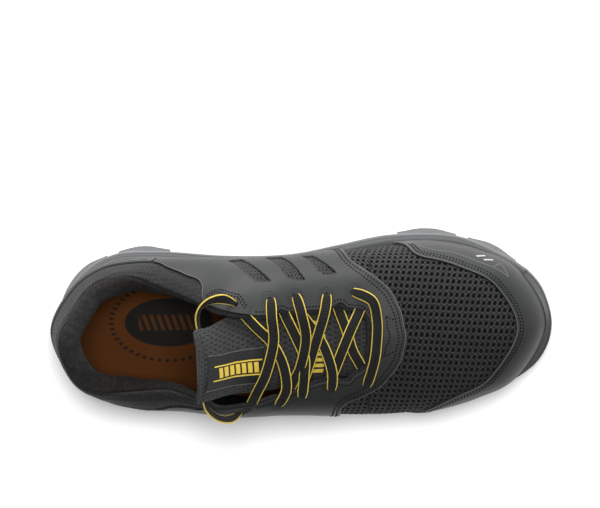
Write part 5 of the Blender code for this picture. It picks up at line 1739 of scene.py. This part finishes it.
def make_outsole(sizes, colours):
    """The rubber plate with bevelled lugs, some standing out of its side, each with a sunk tread pad."""
    places, reaches = sole_columns()

    def plate_height(x):
        return tread_height(x) + LUG_DEPTH

    shares = (TREAD_SPINE, CENTRE_LUG_SHARE, EDGE_LUG_SHARE, 1.0)
    rings = [level_ring(places, share, 0, plate_height) for share in shares]
    rings += [level_ring(places, share, 0, outsole_top) for share in (1.0, 0.5, SPINE_SHARE)]
    sole = lay_grid("outsole_rubber", np.array(rings), around=True)
    kind = np.zeros((len(rings) - 1, len(places)), np.int32)
    kind[0, reaches >= 0] = CENTRE_LUG
    kind[2, reaches >= 0] = EDGE_LUG
    sole.data.attributes.new("kind", "INT", "FACE").data.foreach_set("value", kind.ravel())
    close(sole)
    kinds = np.empty(len(sole.data.polygons), np.int32)
    sole.data.attributes["kind"].data.foreach_get("value", kinds)
    pick_faces(sole, kinds > 0)
    bpy.ops.mesh.extrude_region_move(TRANSFORM_OT_translate={"value": (0, 0, -LUG_DEPTH * MM)})
    bpy.ops.object.mode_set(mode="OBJECT")
    kinds = np.array([value.value for value in sole.data.attributes["kind"].data])
    down = np.array([face.normal.z < -0.7 and face.select for face in sole.data.polygons])
    pick_faces(sole, down & (kinds == EDGE_LUG))
    bpy.ops.mesh.inset(thickness=PAD_RIM * MM, depth=0.0, use_even_offset=False)
    bpy.ops.mesh.inset(thickness=PAD_SLOPE * MM, depth=-PAD_SINK * MM, use_even_offset=False)
    bpy.ops.object.mode_set(mode="OBJECT")
    push_side_lugs(sole, places, reaches)
    corner = math.radians(LUG_CORNER)
    modify(sole, "BEVEL", width=LUG_BEVEL * MM, segments=3, limit_method="ANGLE", angle_limit=corner)
    close(sole, 40.0)
    rubber = tread_finish("outsole_tread", colours.rubber)
    dress(sole, rubber, "rubber_black", "outsole")
    dress(toe_bumper(), rubber, "rubber_black")
    # The sole line's bead is moulded, but its colour, 2.2 times as light as the rubber, is a painted
    # highlight along the sole's top edge
    dress(sole_line(), rubber_finish("sole_line", shade(colours.rubber, 2.2)), "rubber_black")


def rand_reach(places, heights):
    """How far the rand's outside stands beyond the sole's outline, at each place and height."""
    around, up = np.meshgrid(np.linspace(9.0, 19.0, 200), np.linspace(0.0, 0.5, 60), indexing="ij")
    skin = upper_offset(around.ravel(), up.ravel(), np.full(around.size, PANEL_TOP))
    reach = []
    for edge, normal, height in zip(outline(places), outline_normal(places), heights):
        beyond = skin[:, :2] - edge
        aside = beyond @ np.array([-normal[1], normal[0]])
        miss = np.where(np.hypot(*beyond.T) < 15, aside**2 + (skin[:, 2] - height) ** 2, np.inf)
        reach.append(beyond[miss.argmin()] @ normal)
    return np.array(reach)


def lug_fullness(from_end):
    """How much of its reach a lug has at a distance from its nearer end."""
    return LUG_END + (1 - LUG_END) * smooth_step(0, LUG_ROUND, from_end)


def toe_bumper():
    """The grooved rubber lip that rises round the toe and lies against the rand."""
    places = np.linspace(place_at(TOE_WRAP[0] * LENGTH / 2, 1), place_at(TOE_WRAP[1] * LENGTH / 2, -1), 160)
    edge, normal = outline(places), outline_normal(places)
    run = lengths(edge)
    left = run[-1] - run
    full = lug_fullness(np.minimum(run, left))
    seat = seat_height(edge[:, 0]) + BUMPER_SEAT
    foot = outsole_top(edge[:, 0]) - BUMPER_FOOT
    medial, lateral = BUMPER_RISES_FROM
    top = seat + BUMPER_LIP + BUMPER_RISE * smooth_step(*medial, run) * smooth_step(*lateral, left)
    rows = []
    for offset, share in BUMPER_SIDE:
        rows.append((BUMPER_ROOT + (offset - BUMPER_ROOT) * full, foot + (top - foot) * share))
    for share in (1.0, 0.75, 0.5, 0.25):
        height = seat + (top - seat) * share
        rows.append((np.minimum(rand_reach(places, height) + BUMPER_GAP, 1.0), height))
    rows += [(0.35, seat), (1.15, seat), (1.15, foot), (BUMPER_SIDE[0][0] * full, foot)]
    points = []
    for offset, height in rows:
        points.append(np.column_stack([edge + normal * np.broadcast_to(offset, len(edge))[:, None], height]))
    return close(lay_grid("toe_bumper", np.array(points)), 45.0)


def sole_line():
    """The thin moulded line round the sole, where the lugs end below the foam."""
    places = np.linspace(0, len(OUTLINE_POINTS), 500)
    path = level_ring(places, 1.0, SOLE_LINE_OUT, lambda x: outsole_top(x) + SOLE_LINE_UP)
    wide = np.column_stack([outline_normal(places), np.zeros(len(places))])
    up = np.tile([0, 0, 1.0], (len(places), 1))
    line = sweep("sole_rim", path, wide, up, circle(8), SOLE_LINE_HALF_WIDTH, SOLE_LINE_HALF_HEIGHT)
    return close(line, 60.0)


def lug_swell(places):
    """How much of its reach a lug has at each place: less towards its ends."""
    swell = np.ones(len(places))
    for start, end, _ in lug_spans():
        inside = (places > start - 1e-6) & (places < end + 1e-6)
        ends = outline(np.array([start, end]))
        from_end = np.linalg.norm(outline(places[inside])[:, None] - ends, axis=-1).min(1)
        swell[inside] = lug_fullness(from_end)
    return swell


def push_side_lugs(sole, places, reaches):
    """Extrudes the side of each lug that stands out, less at its top than at its foot."""
    mesh = sole.data
    edge, normals, swell = outline(places), outline_normal(places), lug_swell(places)
    middles = vectors_of(mesh.polygons, "center") / MM
    facing = vectors_of(mesh.polygons, "normal")
    half = (edge + np.roll(edge, -1, 0)) / 2
    gap = np.linalg.norm(middles[:, None, :2] - half[None], axis=-1)
    nearest = gap.argmin(1)
    outward = (facing[:, :2] * normals[nearest]).sum(1)
    on_side = (gap.min(1) < 1.2) & (outward > 0.8) & (np.abs(facing[:, 2]) < 0.4)
    pick_faces(sole, on_side & (reaches[nearest] > 0))
    bpy.ops.mesh.extrude_region_move(TRANSFORM_OT_translate={"value": (0, 0, 0)})
    bpy.ops.object.mode_set(mode="OBJECT")
    moved = {v for p in mesh.polygons if p.select for v in p.vertices}
    for index in moved:
        vertex = mesh.vertices[index]
        spot = np.array(vertex.co) / MM
        near = np.linalg.norm(edge - spot[:2], axis=1).argmin()
        height = (spot[2] - tread_height(spot[0])) / OUTSOLE_RIM
        shift = normals[near] * LUG_REACH * swell[near] * (1.0 - LUG_TAPER * height) * MM
        vertex.co += Vector((*shift, 0))


# Add-on


def size(name, description, value):
    return FloatProperty(name=name, description=description, default=value, unit="LENGTH")


class ShoeSizes(bpy.types.PropertyGroup):
    """Sizes that a user may change."""

    camera_tilt: FloatProperty(
        name="Camera tilt", description="Lean from straight above", default=math.radians(9), subtype="ANGLE"
    )
    camera_distance: size("Camera distance", "From the floor point in view", 1.5)
    camera_lens: size("Lens", "Focal length", 0.14445)
    hole_pitch_along: size("Hole pitch along", "Air mesh pitch along the shoe", 0.0034)
    hole_pitch_across: size("Hole pitch across", "Air mesh pitch across the shoe", 0.0041)
    hole_size: size("Hole size", "Width of an air mesh hole", 0.0029)
    vent_pitch: size("Vent pitch", "Pitch of the fine mesh in the vents", 0.0021)
    stitch_pitch: size("Stitch pitch", "From one stitch to the next", 0.0020)
    stitch_length: size("Stitch length", "Length of thread that shows", 0.0014)
    seam_depth: size("Collar seam", "Depth of the groove round the collar", 0.0009)
    lace_width: size("Lace width", "Width with its edge cords", 0.0064)
    lace_thick: size("Lace thickness", "Thickness of the band", 0.0015)
    lace_rib: size("Lace rib", "Pitch of the cross ribs", 0.0013)
    edge_cord: size("Edge cord", "Thickness of the bright cords", 0.0009)


def swatch(name, description, value):
    return FloatVectorProperty(
        name=name, description=description, default=value, size=3, min=0, max=1, subtype="COLOR"
    )


class ShoeColours(bpy.types.PropertyGroup):
    """Base colours of the finishes."""

    panel: swatch("Panels", "Coated synthetic", (0.0200, 0.0212, 0.0215))
    knit: swatch("Knit", "Collar and tongue cloth", (0.0220, 0.0223, 0.0230))
    lining: swatch("Lining", "Brushed collar lining", (0.0285, 0.0275, 0.0270))
    # painted shade and orange bounce light for the lining down by the footbed, not a colour of the cloth
    lining_painted_shade: swatch("Deep lining", "Lining down by the footbed", (0.0070, 0.0048, 0.0034))
    yarn: swatch("Yarn", "Air mesh", (0.0264, 0.0264, 0.0271))
    lace: swatch("Lace", "Woven band", (0.006, 0.006, 0.0063))
    amber: swatch("Amber", "Lace edges and bars", (0.950, 0.690, 0.095))
    thread: swatch("Thread", "Stitches", (0.0035, 0.0035, 0.0038))
    footbed: swatch("Footbed", "Footbed cloth", (0.083, 0.026, 0.0045))
    footbed_mark: swatch("Oval", "Oval on the footbed", (0.009, 0.0075, 0.006))
    foam: swatch("Foam", "Midsole", (0.0504, 0.0525, 0.0546))
    rubber: swatch("Rubber", "Outsole", (0.092, 0.094, 0.096))
    print_grey: swatch("Grey line", "Line on the rand", (0.150, 0.155, 0.158))
    print_white: swatch("White dashes", "Dashes on the rand", (0.560, 0.565, 0.570))
    floor: swatch("Floor", "Studio floor", (0.930, 0.930, 0.930))


def run(make, context):
    make(context.scene.shoe_sizes, context.scene.shoe_colours)
    return {"FINISHED"}


class SHOE_OT_stage(bpy.types.Operator):
    """Camera, floor and lights"""

    bl_idname = "shoe.stage"
    bl_label = "Stage"

    def execute(self, context):
        return run(make_stage, context)


class SHOE_OT_laces(bpy.types.Operator):
    """Lace strands, their edge cords and the free loop"""

    bl_idname = "shoe.laces"
    bl_label = "Laces"

    def execute(self, context):
        return run(make_laces, context)


class SHOE_OT_upper(bpy.types.Operator):
    """Hollow upper with its padded collar and lining"""

    bl_idname = "shoe.upper"
    bl_label = "Upper"

    def execute(self, context):
        return run(make_upper, context)


class SHOE_OT_vamp(bpy.types.Operator):
    """Open air mesh over the toe"""

    bl_idname = "shoe.vamp"
    bl_label = "Vamp mesh"

    def execute(self, context):
        return run(make_vamp, context)


class SHOE_OT_vents(bpy.types.Operator):
    """Fine mesh behind the vents"""

    bl_idname = "shoe.vents"
    bl_label = "Vent mesh"

    def execute(self, context):
        return run(make_vents, context)


class SHOE_OT_panels(bpy.types.Operator):
    """Rand, saddle, counter and tabs"""

    bl_idname = "shoe.panels"
    bl_label = "Panels"

    def execute(self, context):
        return run(make_panels, context)


class SHOE_OT_marks(bpy.types.Operator):
    """Embossed lines and the marks on the rand"""

    bl_idname = "shoe.marks"
    bl_label = "Marks"

    def execute(self, context):
        return run(make_marks, context)


class SHOE_OT_stitching(bpy.types.Operator):
    """Rows of stitches"""

    bl_idname = "shoe.stitching"
    bl_label = "Stitching"

    def execute(self, context):
        return run(make_stitching, context)


class SHOE_OT_tongue(bpy.types.Operator):
    """Padded tongue"""

    bl_idname = "shoe.tongue"
    bl_label = "Tongue"

    def execute(self, context):
        return run(make_tongue, context)


class SHOE_OT_patch(bpy.types.Operator):
    """Tongue patch and its bars"""

    bl_idname = "shoe.patch"
    bl_label = "Tongue patch"

    def execute(self, context):
        return run(make_patch, context)


class SHOE_OT_insole(bpy.types.Operator):
    """Footbed"""

    bl_idname = "shoe.insole"
    bl_label = "Footbed"

    def execute(self, context):
        return run(make_insole, context)


class SHOE_OT_midsole(bpy.types.Operator):
    """Foam midsole"""

    bl_idname = "shoe.midsole"
    bl_label = "Midsole"

    def execute(self, context):
        return run(make_midsole, context)


class SHOE_OT_outsole(bpy.types.Operator):
    """Rubber outsole"""

    bl_idname = "shoe.outsole"
    bl_label = "Outsole"

    def execute(self, context):
        return run(make_outsole, context)


OPERATORS = (
    SHOE_OT_stage,
    SHOE_OT_laces,
    SHOE_OT_upper,
    SHOE_OT_vamp,
    SHOE_OT_vents,
    SHOE_OT_panels,
    SHOE_OT_marks,
    SHOE_OT_stitching,
    SHOE_OT_tongue,
    SHOE_OT_patch,
    SHOE_OT_insole,
    SHOE_OT_midsole,
    SHOE_OT_outsole,
)


class SHOE_PT_panel(bpy.types.Panel):
    """Sizes, colours and pieces of the shoe"""

    bl_label = "Work shoe"
    bl_space_type = "VIEW_3D"
    bl_region_type = "UI"
    bl_category = "Shoe"

    def draw(self, context):
        for group in (context.scene.shoe_sizes, context.scene.shoe_colours):
            for name in group.__annotations__:
                self.layout.prop(group, name)
        for operator in OPERATORS:
            self.layout.operator(operator.bl_idname)


CLASSES = (ShoeSizes, ShoeColours, *OPERATORS, SHOE_PT_panel)


def register():
    for item in CLASSES:
        bpy.utils.register_class(item)
    bpy.types.Scene.shoe_sizes = PointerProperty(type=ShoeSizes)
    bpy.types.Scene.shoe_colours = PointerProperty(type=ShoeColours)


def unregister():
    del bpy.types.Scene.shoe_colours
    del bpy.types.Scene.shoe_sizes
    for item in reversed(CLASSES):
        bpy.utils.unregister_class(item)


def main():
    register()
    for operator in OPERATORS:
        group, name = operator.bl_idname.split(".")
        getattr(getattr(bpy.ops, group), name)()


if __name__ == "__main__":
    main()
